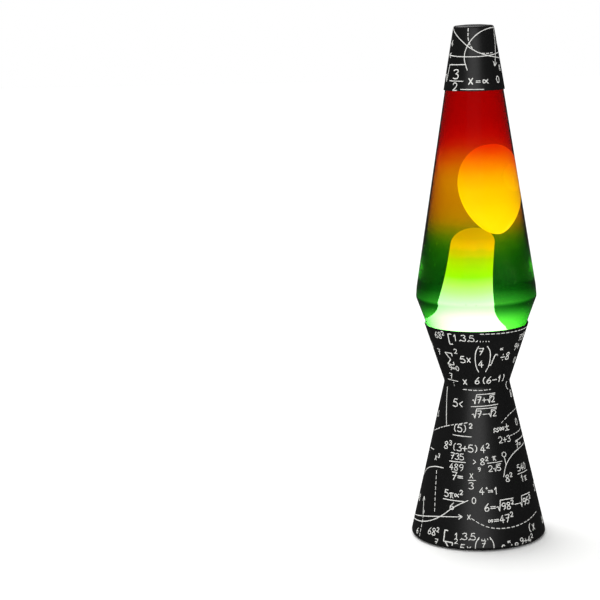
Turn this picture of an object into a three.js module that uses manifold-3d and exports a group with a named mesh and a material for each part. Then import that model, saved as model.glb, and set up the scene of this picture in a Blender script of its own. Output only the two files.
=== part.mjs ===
// A lava lamp: a printed hourglass base, a painted glass bottle of liquid and wax that drops into it,
// a loose metal cap over the bottle's crown-sealed neck, and an E14 reflector bulb under the bottle.
// Millimetres, +Z up. The origin is on the floor, on the lamp's axis. The cord outlet is at +Y.
import * as THREE from "three";
import { mergeVertices } from "three/addons/utils/BufferGeometryUtils.js";
import Module from "manifold-3d";

const wasm = await Module();
wasm.setup();

// ---- Driving dimensions -------------------------------------------------------------------------
const HEIGHT = 400; // floor to the cap's top
const FINE = 40; // facets round the big turned shells
const MEDIUM = 24; // facets round the bulb, the holder and the crown
const SMALL = 12; // facets round screws, feet and rivets
const GAP = 0.3; // clearance kept between neighbouring pieces

// Hourglass base, spun from sheet aluminium
const SHEET = 0.8; // wall measured square to the surface
const BASE_R = 52.95; // outer radius just above the curled foot
const FOOT_CURL_Z = 0.9; // lowest point of the curled foot
const CONE_FOOT_Z = 2.6; // where the lower cone starts
const WAIST_Z = 123.5;
const WAIST_R = 25.4;
const RIM_Z = 170;
const RIM_R = 40.35;
const FLANGE_Z = 3.5; // underside of the inward flange that the bottom plate is screwed to
const FLANGE_R = 39.5;

// Bottle
const GLASS = 2.6; // wall of the bottle
const BOTTLE_FOOT_Z = 138;
const SEAT_R = 39.05; // glass radius at the rim, where the bottle rests in the base
const LOWER_SLOPE = 0.365; // growth in radius per mm of height below the shoulder
const SHOULDER_Z = 193.5;
const SHOULDER_R = 46.65;
const UPPER_SLOPE = 0.1569; // loss of radius per mm of height above the shoulder
const CONE_TOP_Z = 351; // the cone ends here, under the cap's edge
const NECK_R = 13.2;
const MOUTH_R = 8.2;
const MOUTH_Z = 388;
const FILL_Z = 356; // liquid level

// Loose cap, spun from thinner sheet
const CAP_SHEET = 0.6;
const CAP_FOOT_Z = 351;
const CAP_FOOT_R = 23.35;
const CAP_TOP_R = 15.6;

// Wax
const FLOOR_Z = BOTTLE_FOOT_Z + 5.2; // inner floor of the bottle
const BLOB = { low: 239.5, high: 308.6, radius: 17.7, x: 8.4, y: -4 };
const PILLAR = { top: 243.7, radius: 12, x: -0.7, y: 2 };

// Reflector bulb, 39 mm across, with an E14 screw base
const BULB_TIP_Z = 56;
const BULB_LENGTH = 68;
const BULB_R = 19.5;
const THREAD_PITCH = 2.822;
const THREAD_MEAN_R = 6.55;
const THREAD_WAVE = 0.4; // half the depth of the rolled thread
const THREAD_PLAY = 1; // from the middle of the bulb's sheet to the middle of the holder's
const THREAD_FOOT_Z = 59.6;
const THREAD_TURNS = 5;
const THREAD_STEPS = 5; // slices per turn of thread
const THREAD_FACETS = 16;

// Lamp holder and its bracket
const HOLDER_R = 13.5;
const HOLDER_FOOT_Z = 36;
const HOLDER_TOP_Z = 76.5;
const HOLDER_FLOOR_Z = 51;
const HOLDER_BORE_R = 8.4;
const BRIDGE_Z = 34.4; // top of the bracket's bridge
const BRACKET_SHEET = 1.2;
const BRACKET_WIDTH = 16;
const NIPPLE_R = 5;

// Bottom plate
const PLATE_LOW_Z = 1.5;
const PLATE_HIGH_Z = 3.4;
const PLATE_R = 47.3;
const SCREW_CIRCLE_R = 43.4;
const FIRST_SCREW = -90; // degrees round from +X, so one screw is at the front
const FOOT_CIRCLE_R = 41.5;
const RIVET_X = 27;

// Cord outlet at the back
const OUTLET_Z = 17;
const OUTLET_BORE_R = 3.8;
const OUTLET_HOLE_R = 5.7;

// ---- Materials ----------------------------------------------------------------------------------
const finish = (color, roughness, metalness = 0) =>
  new THREE.MeshStandardMaterial({ color, roughness, metalness });
const clear = (color, roughness, opacity) =>
  new THREE.MeshStandardMaterial({ color, roughness, opacity, transparent: true });
const PAINT = {
  blackLacquer: finish("#161616", 0.45),
  paintedGlass: clear("#2f8a1c", 0.08, 0.5),
  liquid: clear("#f3f6ee", 0.05, 0.3),
  wax: finish("#ffd400", 0.5),
  tinplate: finish("#c9c9c4", 0.3, 1),
  liner: finish("#dcdcd6", 0.7),
  steel: finish("#8f9296", 0.4, 1),
  zinc: finish("#b4b8bb", 0.35, 1),
  brass: finish("#c8a552", 0.35, 1),
  blackRubber: finish("#1c1c1d", 0.85),
  blackPlastic: finish("#1f1f20", 0.6),
  whitePlastic: finish("#e9e6dd", 0.5),
  bulbGlass: finish("#f5f0e2", 0.35),
  clearGlass: clear("#e8efee", 0.05, 0.4),
  blackGlass: finish("#141414", 0.2),
  solder: finish("#b9bab6", 0.4, 1),
  tungsten: finish("#6f6a66", 0.5, 1),
};

// ---- Shape helpers ------------------------------------------------------------------------------
// A profile of [radius, height] pairs turned round the Z axis. It runs up the outside first.
function turned(profile, facets = FINE) {
  const points = profile.map(([radius, height]) => new THREE.Vector2(radius, height));
  return new THREE.LatheGeometry(points, facets).rotateX(Math.PI / 2);
}

// A closed ring or cup: the outer path going up, then the inner path going down, joined at both ends.
function turnedShell(outer, inner, facets = FINE) {
  return turned([...outer, ...inner.slice().reverse(), outer[0]], facets);
}

// Points along an arc from one angle to another, in degrees, as [radius, height] pairs.
function arc(centreR, centreZ, radius, from, to, steps) {
  return Array.from({ length: steps + 1 }, (_, i) => {
    const angle = THREE.MathUtils.degToRad(from + ((to - from) * i) / steps);
    return [centreR + radius * Math.cos(angle), centreZ + radius * Math.sin(angle)];
  });
}

// Round slices stacked along Z, each given by centre and radius at a share 0..1 of the height.
// The first and last slices shrink to points, so the skin is closed.
function stacked(sliceAt, slices, facets) {
  const places = [];
  const faces = [];
  for (let i = 0; i <= slices; i++) {
    const { x, y, z, radius } = sliceAt(i / slices);
    if (i === 0 || i === slices) {
      places.push(x, y, z);
      continue;
    }
    for (let k = 0; k < facets; k++) {
      const angle = (2 * Math.PI * k) / facets;
      places.push(x + radius * Math.cos(angle), y + radius * Math.sin(angle), z);
    }
  }
  const ring = (i, k) => 1 + (i - 1) * facets + (k % facets);
  const last = places.length / 3 - 1;
  for (let k = 0; k < facets; k++) {
    faces.push(0, ring(1, k + 1), ring(1, k));
    faces.push(last, ring(slices - 1, k), ring(slices - 1, k + 1));
    for (let i = 1; i < slices - 1; i++) {
      faces.push(ring(i, k), ring(i, k + 1), ring(i + 1, k + 1));
      faces.push(ring(i, k), ring(i + 1, k + 1), ring(i + 1, k));
    }
  }
  const skin = new THREE.BufferGeometry();
  skin.setAttribute("position", new THREE.Float32BufferAttribute(places, 3));
  skin.setIndex(faces);
  return skin;
}

// A flat outline of [x, y] pairs, with optional round holes [x, y, radius], extruded up from z = 0.
function plateOf(outline, thickness, holes = []) {
  const shape = new THREE.Shape(outline.map(([x, y]) => new THREE.Vector2(x, y)));
  for (const [x, y, radius] of holes) {
    shape.holes.push(new THREE.Path().absarc(x, y, radius, 0, 2 * Math.PI, true));
  }
  const curveSegments = SMALL / 2;
  return new THREE.ExtrudeGeometry(shape, { depth: thickness, bevelEnabled: false, curveSegments });
}

// A sheet strip: the centre line's [x, z] pairs, thickened to one side and extruded along Y.
function strip(line, thickness, width) {
  const path = line.map(([x, z]) => new THREE.Vector2(x, z));
  const offset = path.map((point, i) => {
    const before = path[Math.max(i - 1, 0)];
    const after = path[Math.min(i + 1, path.length - 1)];
    const into = point.clone().sub(before).normalize();
    const out = after.clone().sub(point).normalize();
    if (i === 0) into.copy(out);
    if (i === path.length - 1) out.copy(into);
    const bisector = into.clone().add(out).normalize();
    const normal = new THREE.Vector2(-bisector.y, bisector.x);
    return point.clone().addScaledVector(normal, thickness / Math.max(bisector.dot(into), 0.3));
  });
  const shape = new THREE.Shape([...path, ...offset.reverse()]);
  const solidStrip = new THREE.ExtrudeGeometry(shape, { depth: width, bevelEnabled: false });
  return solidStrip.rotateX(Math.PI / 2).translate(0, width / 2, 0);
}

function solidOf(geometry) {
  const bare = geometry.clone();
  bare.deleteAttribute("normal");
  bare.deleteAttribute("uv");
  const merged = mergeVertices(bare, 1e-3);
  const mesh = new wasm.Mesh({
    numProp: 3,
    vertProperties: merged.attributes.position.array,
    triVerts: new Uint32Array(merged.index.array),
  });
  return new wasm.Manifold(mesh);
}

function geometryOf(solid) {
  const mesh = solid.getMesh();
  const geometry = new THREE.BufferGeometry();
  const places = new Float32Array(mesh.numVert * 3);
  for (let i = 0; i < mesh.numVert; i++) {
    places.set(mesh.vertProperties.subarray(i * mesh.numProp, i * mesh.numProp + 3), i * 3);
  }
  geometry.setAttribute("position", new THREE.BufferAttribute(places, 3));
  geometry.setIndex(new THREE.BufferAttribute(mesh.triVerts, 1));
  const flat = geometry.toNonIndexed();
  flat.computeVertexNormals();
  return flat;
}

function cut(geometry, ...tools) {
  return geometryOf(tools.reduce((rest, tool) => rest.subtract(solidOf(tool)), solidOf(geometry)));
}

function rod(radius, low, high, facets = SMALL) {
  return turned([[0, low], [radius, low], [radius, high], [0, high]], facets);
}

// ---- Base shell ---------------------------------------------------------------------------------
const lowerSlope = (BASE_R - WAIST_R) / (WAIST_Z - CONE_FOOT_Z);
const cupSlope = (RIM_R - WAIST_R) / (RIM_Z - WAIST_Z);
const lowerWall = SHEET * Math.hypot(1, lowerSlope); // the wall measured level
const cupWall = SHEET * Math.hypot(1, cupSlope);
const WAIST_BLEND = 2.2; // half the height of the soft crease at the waist

function outletPlace(geometry) {
  const surfaceR = BASE_R - lowerSlope * (OUTLET_Z - CONE_FOOT_Z);
  geometry.rotateX(-Math.PI / 2 + Math.atan(lowerSlope)); // Z axis to +Y, tipped up square to the cone
  return geometry.translate(0, surfaceR, OUTLET_Z);
}

function baseShell() {
  const outer = [
    [FLANGE_R, FLANGE_Z],
    [47.9, FLANGE_Z],
    [48.7, 2.2],
    [49.6, 1.2],
    [51, FOOT_CURL_Z],
    [52.3, 1.4],
    [BASE_R, CONE_FOOT_Z],
    [WAIST_R + lowerSlope * WAIST_BLEND, WAIST_Z - WAIST_BLEND],
    [WAIST_R + 0.2, WAIST_Z - 0.4],
    [WAIST_R + 0.25, WAIST_Z + 0.5],
    [WAIST_R + cupSlope * WAIST_BLEND, WAIST_Z + WAIST_BLEND],
    [RIM_R, RIM_Z],
  ];
  const inner = [
    [FLANGE_R, FLANGE_Z + SHEET],
    [48.4, FLANGE_Z + SHEET],
    [49.4, 2.75],
    [50.2, 1.95],
    [51, 1.7],
    [51.75, 2.05],
    [BASE_R - lowerWall, CONE_FOOT_Z + 0.3],
    [WAIST_R + lowerSlope * WAIST_BLEND - lowerWall, WAIST_Z - WAIST_BLEND],
    [WAIST_R + 0.2 - SHEET, WAIST_Z - 0.4],
    [WAIST_R + 0.25 - SHEET, WAIST_Z + 0.5],
    [WAIST_R + cupSlope * WAIST_BLEND - cupWall, WAIST_Z + WAIST_BLEND],
    [RIM_R - cupWall, RIM_Z],
  ];
  const hole = outletPlace(rod(OUTLET_HOLE_R, -8, 8));
  const screwHoles = around(3, SCREW_CIRCLE_R, FIRST_SCREW, () => rod(1.8, 2, 6));
  return cut(turnedShell(outer, inner), hole, ...screwHoles);
}

// The same shape made several times round the axis.
function around(count, circleR, startDeg, make) {
  return Array.from({ length: count }, (_, i) => {
    const angle = THREE.MathUtils.degToRad(startDeg + (360 * i) / count);
    return make().translate(circleR * Math.cos(angle), circleR * Math.sin(angle), 0);
  });
}

// A grooved rubber bush: a flange each side of the sheet, and a bore for the cord.
function cordGrommet() {
  const outside = 1.5;
  const inside = -3.4;
  const grooveHigh = GAP;
  const grooveLow = -SHEET - 0.9; // deeper than the sheet, because the wall curves away behind it
  const profile = [
    [OUTLET_BORE_R, inside],
    [7, inside],
    [7.2, grooveLow],
    [OUTLET_HOLE_R - GAP, grooveLow],
    [OUTLET_HOLE_R - GAP, grooveHigh],
    [7.6, grooveHigh],
    [7, outside - 0.4],
    [5.6, outside],
    [OUTLET_BORE_R, outside],
    [OUTLET_BORE_R, inside],
  ];
  return outletPlace(turned(profile, MEDIUM));
}

// ---- Bottom plate, feet and screws --------------------------------------------------------------
const SLOT_COUNT = 8;

function ventSlot() {
  const halfWidth = 1.6;
  const from = 19;
  const to = 31;
  const slot = new THREE.Shape();
  slot.absarc(to, 0, halfWidth, -Math.PI / 2, Math.PI / 2, false);
  slot.absarc(from, 0, halfWidth, Math.PI / 2, (3 * Math.PI) / 2, false);
  return new THREE.ExtrudeGeometry(slot, { depth: 6, bevelEnabled: false, curveSegments: 4 });
}

function bottomPlate() {
  const disc = turned([
    [0, PLATE_LOW_Z],
    [PLATE_R - 0.5, PLATE_LOW_Z],
    [PLATE_R, PLATE_LOW_Z + 0.5],
    [PLATE_R, PLATE_HIGH_Z],
    [0, PLATE_HIGH_Z],
  ]);
  const countersink = () =>
    turned([[0, 0], [3.3, 0], [3.3, PLATE_LOW_Z + 0.05], [1.8, PLATE_LOW_Z + 1.6], [1.8, 5], [0, 5]], SMALL);
  const screwHoles = around(3, SCREW_CIRCLE_R, FIRST_SCREW, countersink);
  const slots = Array.from({ length: SLOT_COUNT }, (_, i) =>
    ventSlot().rotateZ((2 * Math.PI * (i + 0.5)) / SLOT_COUNT),
  );
  const rivetHoles = [-1, 1].map((side) => rod(1.9, 0, 5).translate(side * RIVET_X, 0, 0));
  const centreHole = rod(6, 0, 5, MEDIUM);
  return cut(disc, ...screwHoles, ...slots, ...rivetHoles, centreHole);
}

// A low dome: flat on top against the plate, slightly rounded below.
const rubberFoot = () =>
  turned([[0, 0], [3.4, 0], [4.2, 0.35], [4.5, 0.9], [4.5, PLATE_LOW_Z], [0, PLATE_LOW_Z]], SMALL);

// Countersunk self-tapping screw, head flush with the plate's underside, point up.
const plateScrew = () =>
  turned([[0, PLATE_LOW_Z], [2.9, PLATE_LOW_Z], [1.45, PLATE_LOW_Z + 1.5], [1.45, 8], [0, 9.5]], SMALL);

// ---- Lamp holder and bracket --------------------------------------------------------------------
function holderBracket() {
  const halfSpan = 20;
  const footReach = 34;
  const line = [
    [-footReach, PLATE_HIGH_Z],
    [-halfSpan, PLATE_HIGH_Z],
    [-halfSpan + 2, BRIDGE_Z - BRACKET_SHEET],
    [halfSpan - 2, BRIDGE_Z - BRACKET_SHEET],
    [halfSpan, PLATE_HIGH_Z],
    [footReach, PLATE_HIGH_Z],
  ];
  const rivetHoles = [-1, 1].map((side) => rod(1.9, 0, 8).translate(side * RIVET_X, 0, 0));
  return cut(strip(line, BRACKET_SHEET, BRACKET_WIDTH), rod(NIPPLE_R + GAP, 25, 40), ...rivetHoles);
}

// A rivet through the bracket's foot and the plate: a round head above, a flush one below.
const bracketRivet = () => {
  const seat = PLATE_HIGH_Z + BRACKET_SHEET;
  const head = [[3, seat], [2.4, seat + 1], [0, seat + 1.5]];
  return turned([[0, PLATE_LOW_Z], [1.55, PLATE_LOW_Z], [1.55, seat], ...head], SMALL);
};

// Hollow threaded tube that ties the holder to the bracket.
const holderNipple = () =>
  turnedShell([[NIPPLE_R, 28], [NIPPLE_R, 43.5]], [[3.4, 28], [3.4, 43.5]], MEDIUM);

function nippleNut() {
  const acrossCorners = 8.1;
  const hexagon = Array.from({ length: 6 }, (_, i) => [
    acrossCorners * Math.cos((Math.PI * i) / 3),
    acrossCorners * Math.sin((Math.PI * i) / 3),
  ]);
  return plateOf(hexagon, 2.8, [[0, 0, NIPPLE_R + GAP]]).translate(0, 0, BRIDGE_Z - BRACKET_SHEET - 2.8);
}

const terminalPocket = (side) =>
  new THREE.BoxGeometry(7, 7, 9).translate(side * (HOLDER_R - 2.6), 0, 45);
const terminalBlock = (side) =>
  new THREE.BoxGeometry(4.4, 6, 8).translate(side * (HOLDER_R - 3.6), 0, 45);
// A cheese-head screw that clamps the wire in the terminal block, turned from outside.
const terminalScrew = (side) =>
  rod(1.6, 0.05, 1.3).rotateY((side * Math.PI) / 2).translate(side * (HOLDER_R - 1.4), 0, 45);

function lampHolder() {
  const body = turned([
    [0, HOLDER_FOOT_Z],
    [10, HOLDER_FOOT_Z],
    [HOLDER_R - 0.6, HOLDER_FOOT_Z + 1.6],
    [HOLDER_R - 0.6, 52],
    [HOLDER_R - 1.8, 54],
    [11.6, HOLDER_TOP_Z - 2],
    [12.4, HOLDER_TOP_Z - 1.6],
    [12.4, HOLDER_TOP_Z - 0.3],
    [12, HOLDER_TOP_Z],
    [9, HOLDER_TOP_Z],
    [HOLDER_BORE_R, HOLDER_TOP_Z - 1.6],
    [HOLDER_BORE_R, HOLDER_FLOOR_Z],
    [0, HOLDER_FLOOR_Z],
  ], MEDIUM);
  return cut(body, rod(NIPPLE_R + GAP, 30, 44.5, MEDIUM), terminalPocket(-1), terminalPocket(1));
}

// Leaf spring that presses up against the bulb's tip.
function contactSpring() {
  const line = [
    [-6.5, HOLDER_FLOOR_Z],
    [4.5, HOLDER_FLOOR_Z],
    [5.6, HOLDER_FLOOR_Z + 1],
    [3, HOLDER_FLOOR_Z + 3],
    [-2.5, BULB_TIP_Z - 0.85],
  ];
  return strip(line, 0.4, 4);
}

// ---- Rolled thread ------------------------------------------------------------------------------
// A sheet sleeve whose wall waves in and out along a right-handed helix: radius = mean + wave *
// cos(2 pi z / pitch - angle). Over the first and last half turn the wave fades, and the wall draws
// in (lead -1, on the bulb) or flares out (lead +1, in the holder), so the two always screw together.
function threadedSleeve({ meanR, wall, low, turns, lead, collar }) {
  const steps = turns * THREAD_STEPS;
  const high = low + turns * THREAD_PITCH;
  const side = (radius) =>
    Array.from({ length: steps + 1 }, (_, i) => [radius, low + ((high - low) * i) / steps]);
  const outer = [...side(meanR + wall / 2), ...collar.map(([radius, z]) => [radius + wall / 2, z])];
  const inner = [...side(meanR - wall / 2), ...collar.map(([radius, z]) => [radius - wall / 2, z])];
  const sleeve = turnedShell(outer, inner, THREAD_FACETS);
  const vertices = sleeve.attributes.position;
  for (let i = 0; i < vertices.count; i++) {
    const x = vertices.getX(i);
    const y = vertices.getY(i);
    const z = vertices.getZ(i);
    if (z > high + 0.01) continue; // the collar is plain
    const fade = THREE.MathUtils.clamp(Math.min(z - low, high - z) / (THREAD_PITCH / 2), 0, 1);
    const turn = Math.cos((2 * Math.PI * z) / THREAD_PITCH - Math.atan2(y, x));
    const grow = 1 + (THREAD_WAVE * (fade * turn + lead * (1 - fade))) / Math.hypot(x, y);
    vertices.setXY(i, x * grow, y * grow);
  }
  return sleeve;
}

const threadTopZ = THREAD_FOOT_Z + THREAD_TURNS * THREAD_PITCH;
const COLLAR_R = 8.35; // flared top of the bulb's base, round the glass neck

const bulbScrewShell = () =>
  threadedSleeve({
    meanR: THREAD_MEAN_R,
    wall: 0.4,
    low: THREAD_FOOT_Z,
    turns: THREAD_TURNS,
    lead: -1,
    collar: [[COLLAR_R, threadTopZ + 6.2], [COLLAR_R, threadTopZ + 7.4]],
  });

const holderThreadSleeve = () =>
  threadedSleeve({
    meanR: THREAD_MEAN_R + THREAD_PLAY,
    wall: 0.4,
    low: THREAD_FOOT_Z + THREAD_PITCH / 2,
    turns: THREAD_TURNS - 1,
    lead: 1,
    collar: [],
  });

// ---- Bulb ---------------------------------------------------------------------------------------
const bulbTopZ = BULB_TIP_Z + BULB_LENGTH;
const NECK_FOOT_Z = threadTopZ + 2.4;

function bulbGlass() {
  const wall = 0.7;
  const outer = [
    [7.55, NECK_FOOT_Z + 4],
    [7.75, NECK_FOOT_Z + 6],
    [8.3, NECK_FOOT_Z + 10],
    [10.2, NECK_FOOT_Z + 16],
    [13.8, NECK_FOOT_Z + 23],
    [17.2, NECK_FOOT_Z + 29.5],
    [BULB_R, bulbTopZ - 11],
    [BULB_R - 0.1, bulbTopZ - 6.5],
    [BULB_R - 1.9, bulbTopZ - 2.9],
    [BULB_R - 6, bulbTopZ - 1],
    [7, bulbTopZ - 0.2],
    [0, bulbTopZ],
  ];
  const facing = (i) => Math.max(i - 6, 0) * 0.25; // the wall's thickness turns from level to upright
  const inner = outer.slice(0, -1).map(([radius, z], i) => [radius - wall, z - wall * facing(i)]);
  return turned([...outer, [0, bulbTopZ - wall * 1.4], ...inner.reverse(), outer[0]], MEDIUM);
}

// Flared glass tube, pinched flat at the top where the lead wires pass through it.
const bulbStem = () =>
  turned([[0, 2], [3.6, 2], [3.2, 6], [2.6, 14], [1.6, 17], [0, 17]], SMALL).translate(0, 0, threadTopZ);

const leadWire = (side) =>
  rod(0.3, 0, 12, 6).rotateY(side * 0.28).translate(side * 0.9, 0, threadTopZ + 17.4);

function filament() {
  const half = 4.2;
  const line = new THREE.QuadraticBezierCurve3(
    new THREE.Vector3(-half, 0, 0),
    new THREE.Vector3(0, -3.5, 1),
    new THREE.Vector3(half, 0, 0),
  );
  const section = new THREE.Shape().absarc(0, 0, 0.45, 0, 2 * Math.PI, false);
  const coil = new THREE.ExtrudeGeometry(section, { steps: 8, extrudePath: line, curveSegments: 3 });
  return coil.translate(0, 0, threadTopZ + 30.2);
}

const bulbInsulator = () =>
  turned([[0, 1.5], [2.9, 1.5], [5.6, 3.2], [5.6, 4.2], [0, 4.2]], MEDIUM).translate(0, 0, BULB_TIP_Z);
const bulbContact = () =>
  turned([[0, 0], [1.6, 0.3], [2.4, 1.1], [2.4, 1.4], [0, 1.4]], SMALL).translate(0, 0, BULB_TIP_Z);

// ---- Bottle -------------------------------------------------------------------------------------
const coneR = (z) => SHOULDER_R - 0.1 - UPPER_SLOPE * (z - SHOULDER_Z - 3);
const seatConeR = (z) => SEAT_R + LOWER_SLOPE * (z - RIM_Z);

// The outside of the bottle from its hollow foot to the top of its cone.
const bottleFlank = [
  [0, BOTTLE_FOOT_Z + 2.6],
  [16, BOTTLE_FOOT_Z + 1.6],
  [22, BOTTLE_FOOT_Z],
  [25.4, BOTTLE_FOOT_Z + 0.6],
  [27.6, BOTTLE_FOOT_Z + 2.6],
  [seatConeR(144), 144],
  [seatConeR(RIM_Z), RIM_Z],
  [seatConeR(SHOULDER_Z - 5.2), SHOULDER_Z - 5.2],
  [SHOULDER_R - 0.45, SHOULDER_Z - 3],
  [SHOULDER_R, SHOULDER_Z],
  [SHOULDER_R - 0.1, SHOULDER_Z + 2],
  [coneR(SHOULDER_Z + 6), SHOULDER_Z + 6],
  [coneR(CONE_TOP_Z), CONE_TOP_Z],
];

// The inside of the bottle, from the middle of its floor up to where the wall meets the cap.
const bottleCavity = [
  [0, FLOOR_Z + 0.6],
  [15, FLOOR_Z],
  [21, FLOOR_Z - 1],
  [24.6, FLOOR_Z + 0.6],
  [seatConeR(148) - GLASS - 0.2, 148],
  [seatConeR(RIM_Z) - GLASS, RIM_Z],
  [seatConeR(SHOULDER_Z - 5.2) - GLASS, SHOULDER_Z - 5.2],
  [SHOULDER_R - GLASS - 0.3, SHOULDER_Z - 2],
  [SHOULDER_R - GLASS, SHOULDER_Z + 2],
  [coneR(SHOULDER_Z + 7) - GLASS, SHOULDER_Z + 7],
  [coneR(CONE_TOP_Z) - GLASS, CONE_TOP_Z],
  [coneR(FILL_Z) - GLASS - 0.5, FILL_Z],
];

function glassBottle() {
  const outer = [
    ...bottleFlank,
    [20.2, 359],
    [17.2, 366],
    [14.4, 370.6],
    [NECK_R, 374],
    [NECK_R, 379],
    [14.2, 380],
    [14.2, 382.5],
    [NECK_R - 0.3, 383.6],
    [NECK_R - 0.3, MOUTH_Z - 1],
    [NECK_R - 1.4, MOUTH_Z],
  ];
  const inner = [
    ...bottleCavity,
    [15.4, 363.5],
    [11.4, 368],
    [MOUTH_R + 0.4, 373],
    [MOUTH_R, 378],
    [MOUTH_R, MOUTH_Z - 0.6],
    [MOUTH_R + 0.8, MOUTH_Z],
  ];
  return turned([...outer, ...inner.reverse()]);
}

// Crimped tinplate closure over the mouth, and the disc that seals it.
const crownCap = () =>
  turned([
    [0, 390.2],
    [11.6, 390.2],
    [13.4, 389.3],
    [15.9, 383.4],
    [15.5, 383.4],
    [13.1, 388.9],
    [11.5, 389.8],
    [0, 389.8],
  ].reverse(), MEDIUM);
const crownLiner = () => rod(11.4, MOUTH_Z + GAP, MOUTH_Z + 1.5, MEDIUM);

// ---- Wax, liquid and coil -----------------------------------------------------------------------
// A drop: its radius follows a sine of the height share, fuller above its middle than below.
function waxBlob(grow = 0) {
  return stacked((share) => {
    const along = (1 - Math.cos(Math.PI * share)) / 2;
    const belly = Math.sin(Math.PI * share);
    const fullness = 0.88 + 0.16 * Math.cos(Math.PI * (share - 0.5) - 0.9);
    return {
      x: BLOB.x + 2.4 * (1 - share) ** 2 - 1.2 * belly,
      y: BLOB.y,
      z: BLOB.low - grow + (BLOB.high - BLOB.low + 2 * grow) * along,
      radius: BLOB.radius * belly * fullness + grow * Math.min(1, belly * 2),
    };
  }, 14, 18);
}

// The rising column: a pillar with a round top that leans left and spreads as it nears the pool.
function waxPillar(grow = 0) {
  const low = FLOOR_Z - 4;
  const top = PILLAR.top + grow;
  return stacked((share) => {
    const z = low + (top - low) * Math.sin((Math.PI / 2) * share);
    const fall = (top - z) / (PILLAR.top - RIM_Z); // 0 at the top, 1 at the base's rim
    const intoDome = Math.min((top - z) / PILLAR.radius, 1);
    const dome = Math.sqrt(intoDome * (2 - intoDome));
    const spread = 2.2 * fall + Math.min(5.8 * fall ** 4, 12);
    const radius = PILLAR.radius * dome + spread + grow * dome;
    return { x: PILLAR.x - 6.5 * fall, y: PILLAR.y, z, radius };
  }, 16, 18);
}

// The melted pool on the bottle's floor, deeper on the left.
const poolTop = (grow) =>
  turned([[0, 130], [60, 130], [60, 160 + grow], [0, 160 + grow]], SMALL).rotateY(0.13);

// The bottle's inside, held off its wall and floor by a gap.
function cavitySolid(gap) {
  const floorPoints = 4;
  const lift = (i) => (i < floorPoints ? gap : 0);
  const lining = bottleCavity.map(([radius, z], i) => [Math.max(radius - gap, 0), z + lift(i)]);
  return solidOf(turned([...lining, [0, FILL_Z]]));
}

const COIL_R = 16;
const COIL_TUBE = 2.6;
const coilZ = FLOOR_Z + COIL_TUBE + 1;

// A channel up from the floor that leaves room for the coil.
const coilChannel = () =>
  turned([
    [COIL_R - COIL_TUBE - GAP, 130],
    [COIL_R + COIL_TUBE + GAP, 130],
    [COIL_R + COIL_TUBE + GAP, coilZ + COIL_TUBE],
    [COIL_R, coilZ + COIL_TUBE + 1.2],
    [COIL_R - COIL_TUBE - GAP, coilZ + COIL_TUBE],
    [COIL_R - COIL_TUBE - GAP, 130],
  ]);

function waxMass(grow) {
  return solidOf(waxPillar(grow)).add(solidOf(poolTop(grow)));
}

const waxPool = () => geometryOf(waxMass(0).intersect(cavitySolid(GAP)).subtract(solidOf(coilChannel())));

// Everything in the bottle that isn't wax. The skin of liquid between the blob and the pillar is too
// thin to model where they all but touch, so the two hollows open into each other there.
const lavaLiquid = () =>
  geometryOf(cavitySolid(GAP).subtract(waxMass(GAP)).subtract(solidOf(waxBlob(0.5))));

const wireCoil = () => new THREE.TorusGeometry(COIL_R, COIL_TUBE, 8, 20).translate(0, 0, coilZ);

// ---- Cap ----------------------------------------------------------------------------------------
function capShell() {
  const slope = (CAP_FOOT_R - CAP_TOP_R) / (HEIGHT - 2.4 - CAP_FOOT_Z);
  const corner = arc(CAP_TOP_R - 2.2, HEIGHT - 2.9, 2.2, 9, 80, 3);
  const innerCorner = arc(CAP_TOP_R - 2.2, HEIGHT - 2.9, 2.2 - CAP_SHEET, 9, 80, 3);
  const wall = CAP_SHEET * Math.hypot(1, slope);
  const outer = [[CAP_FOOT_R, CAP_FOOT_Z], ...corner, [0, HEIGHT]];
  const inner = [[CAP_FOOT_R - wall, CAP_FOOT_Z], ...innerCorner, [0, HEIGHT - CAP_SHEET]];
  return turned([...outer, ...inner.reverse(), outer[0]]);
}

// ---- Assembly -----------------------------------------------------------------------------------
const lamp = new THREE.Group();

function place(name, geometry, material) {
  const mesh = new THREE.Mesh(geometry, material);
  mesh.name = name;
  lamp.add(mesh);
}

place("base_shell", baseShell(), PAINT.blackLacquer);
place("cord_grommet", cordGrommet(), PAINT.blackRubber);
place("bottom_plate", bottomPlate(), PAINT.blackPlastic);
around(4, FOOT_CIRCLE_R, 45, rubberFoot).forEach((foot, i) => {
  place(`rubber_foot_${i + 1}`, foot, PAINT.blackRubber);
});
around(3, SCREW_CIRCLE_R, FIRST_SCREW, plateScrew).forEach((screw, i) => {
  place(`plate_screw_${i + 1}`, screw, PAINT.zinc);
});
place("holder_bracket", holderBracket(), PAINT.steel);
[-1, 1].forEach((side, i) => {
  place(`bracket_rivet_${i + 1}`, bracketRivet().translate(side * RIVET_X, 0, 0), PAINT.zinc);
  place(`terminal_block_${i + 1}`, terminalBlock(side), PAINT.brass);
  place(`terminal_screw_${i + 1}`, terminalScrew(side), PAINT.zinc);
  place(`lead_wire_${i + 1}`, leadWire(side), PAINT.zinc);
});
place("holder_nipple", holderNipple(), PAINT.zinc);
place("nipple_nut", nippleNut(), PAINT.zinc);
place("lamp_holder", lampHolder(), PAINT.whitePlastic);
place("holder_thread_sleeve", holderThreadSleeve(), PAINT.brass);
place("holder_contact_spring", contactSpring(), PAINT.brass);
place("bulb_glass", bulbGlass(), PAINT.bulbGlass);
place("bulb_screw_shell", bulbScrewShell(), PAINT.tinplate);
place("bulb_stem", bulbStem(), PAINT.clearGlass);
place("filament", filament(), PAINT.tungsten);
place("bulb_insulator", bulbInsulator(), PAINT.blackGlass);
place("bulb_contact", bulbContact(), PAINT.solder);
place("glass_bottle", glassBottle(), PAINT.paintedGlass);
place("crown_cap", crownCap(), PAINT.tinplate);
place("crown_liner", crownLiner(), PAINT.liner);
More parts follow.
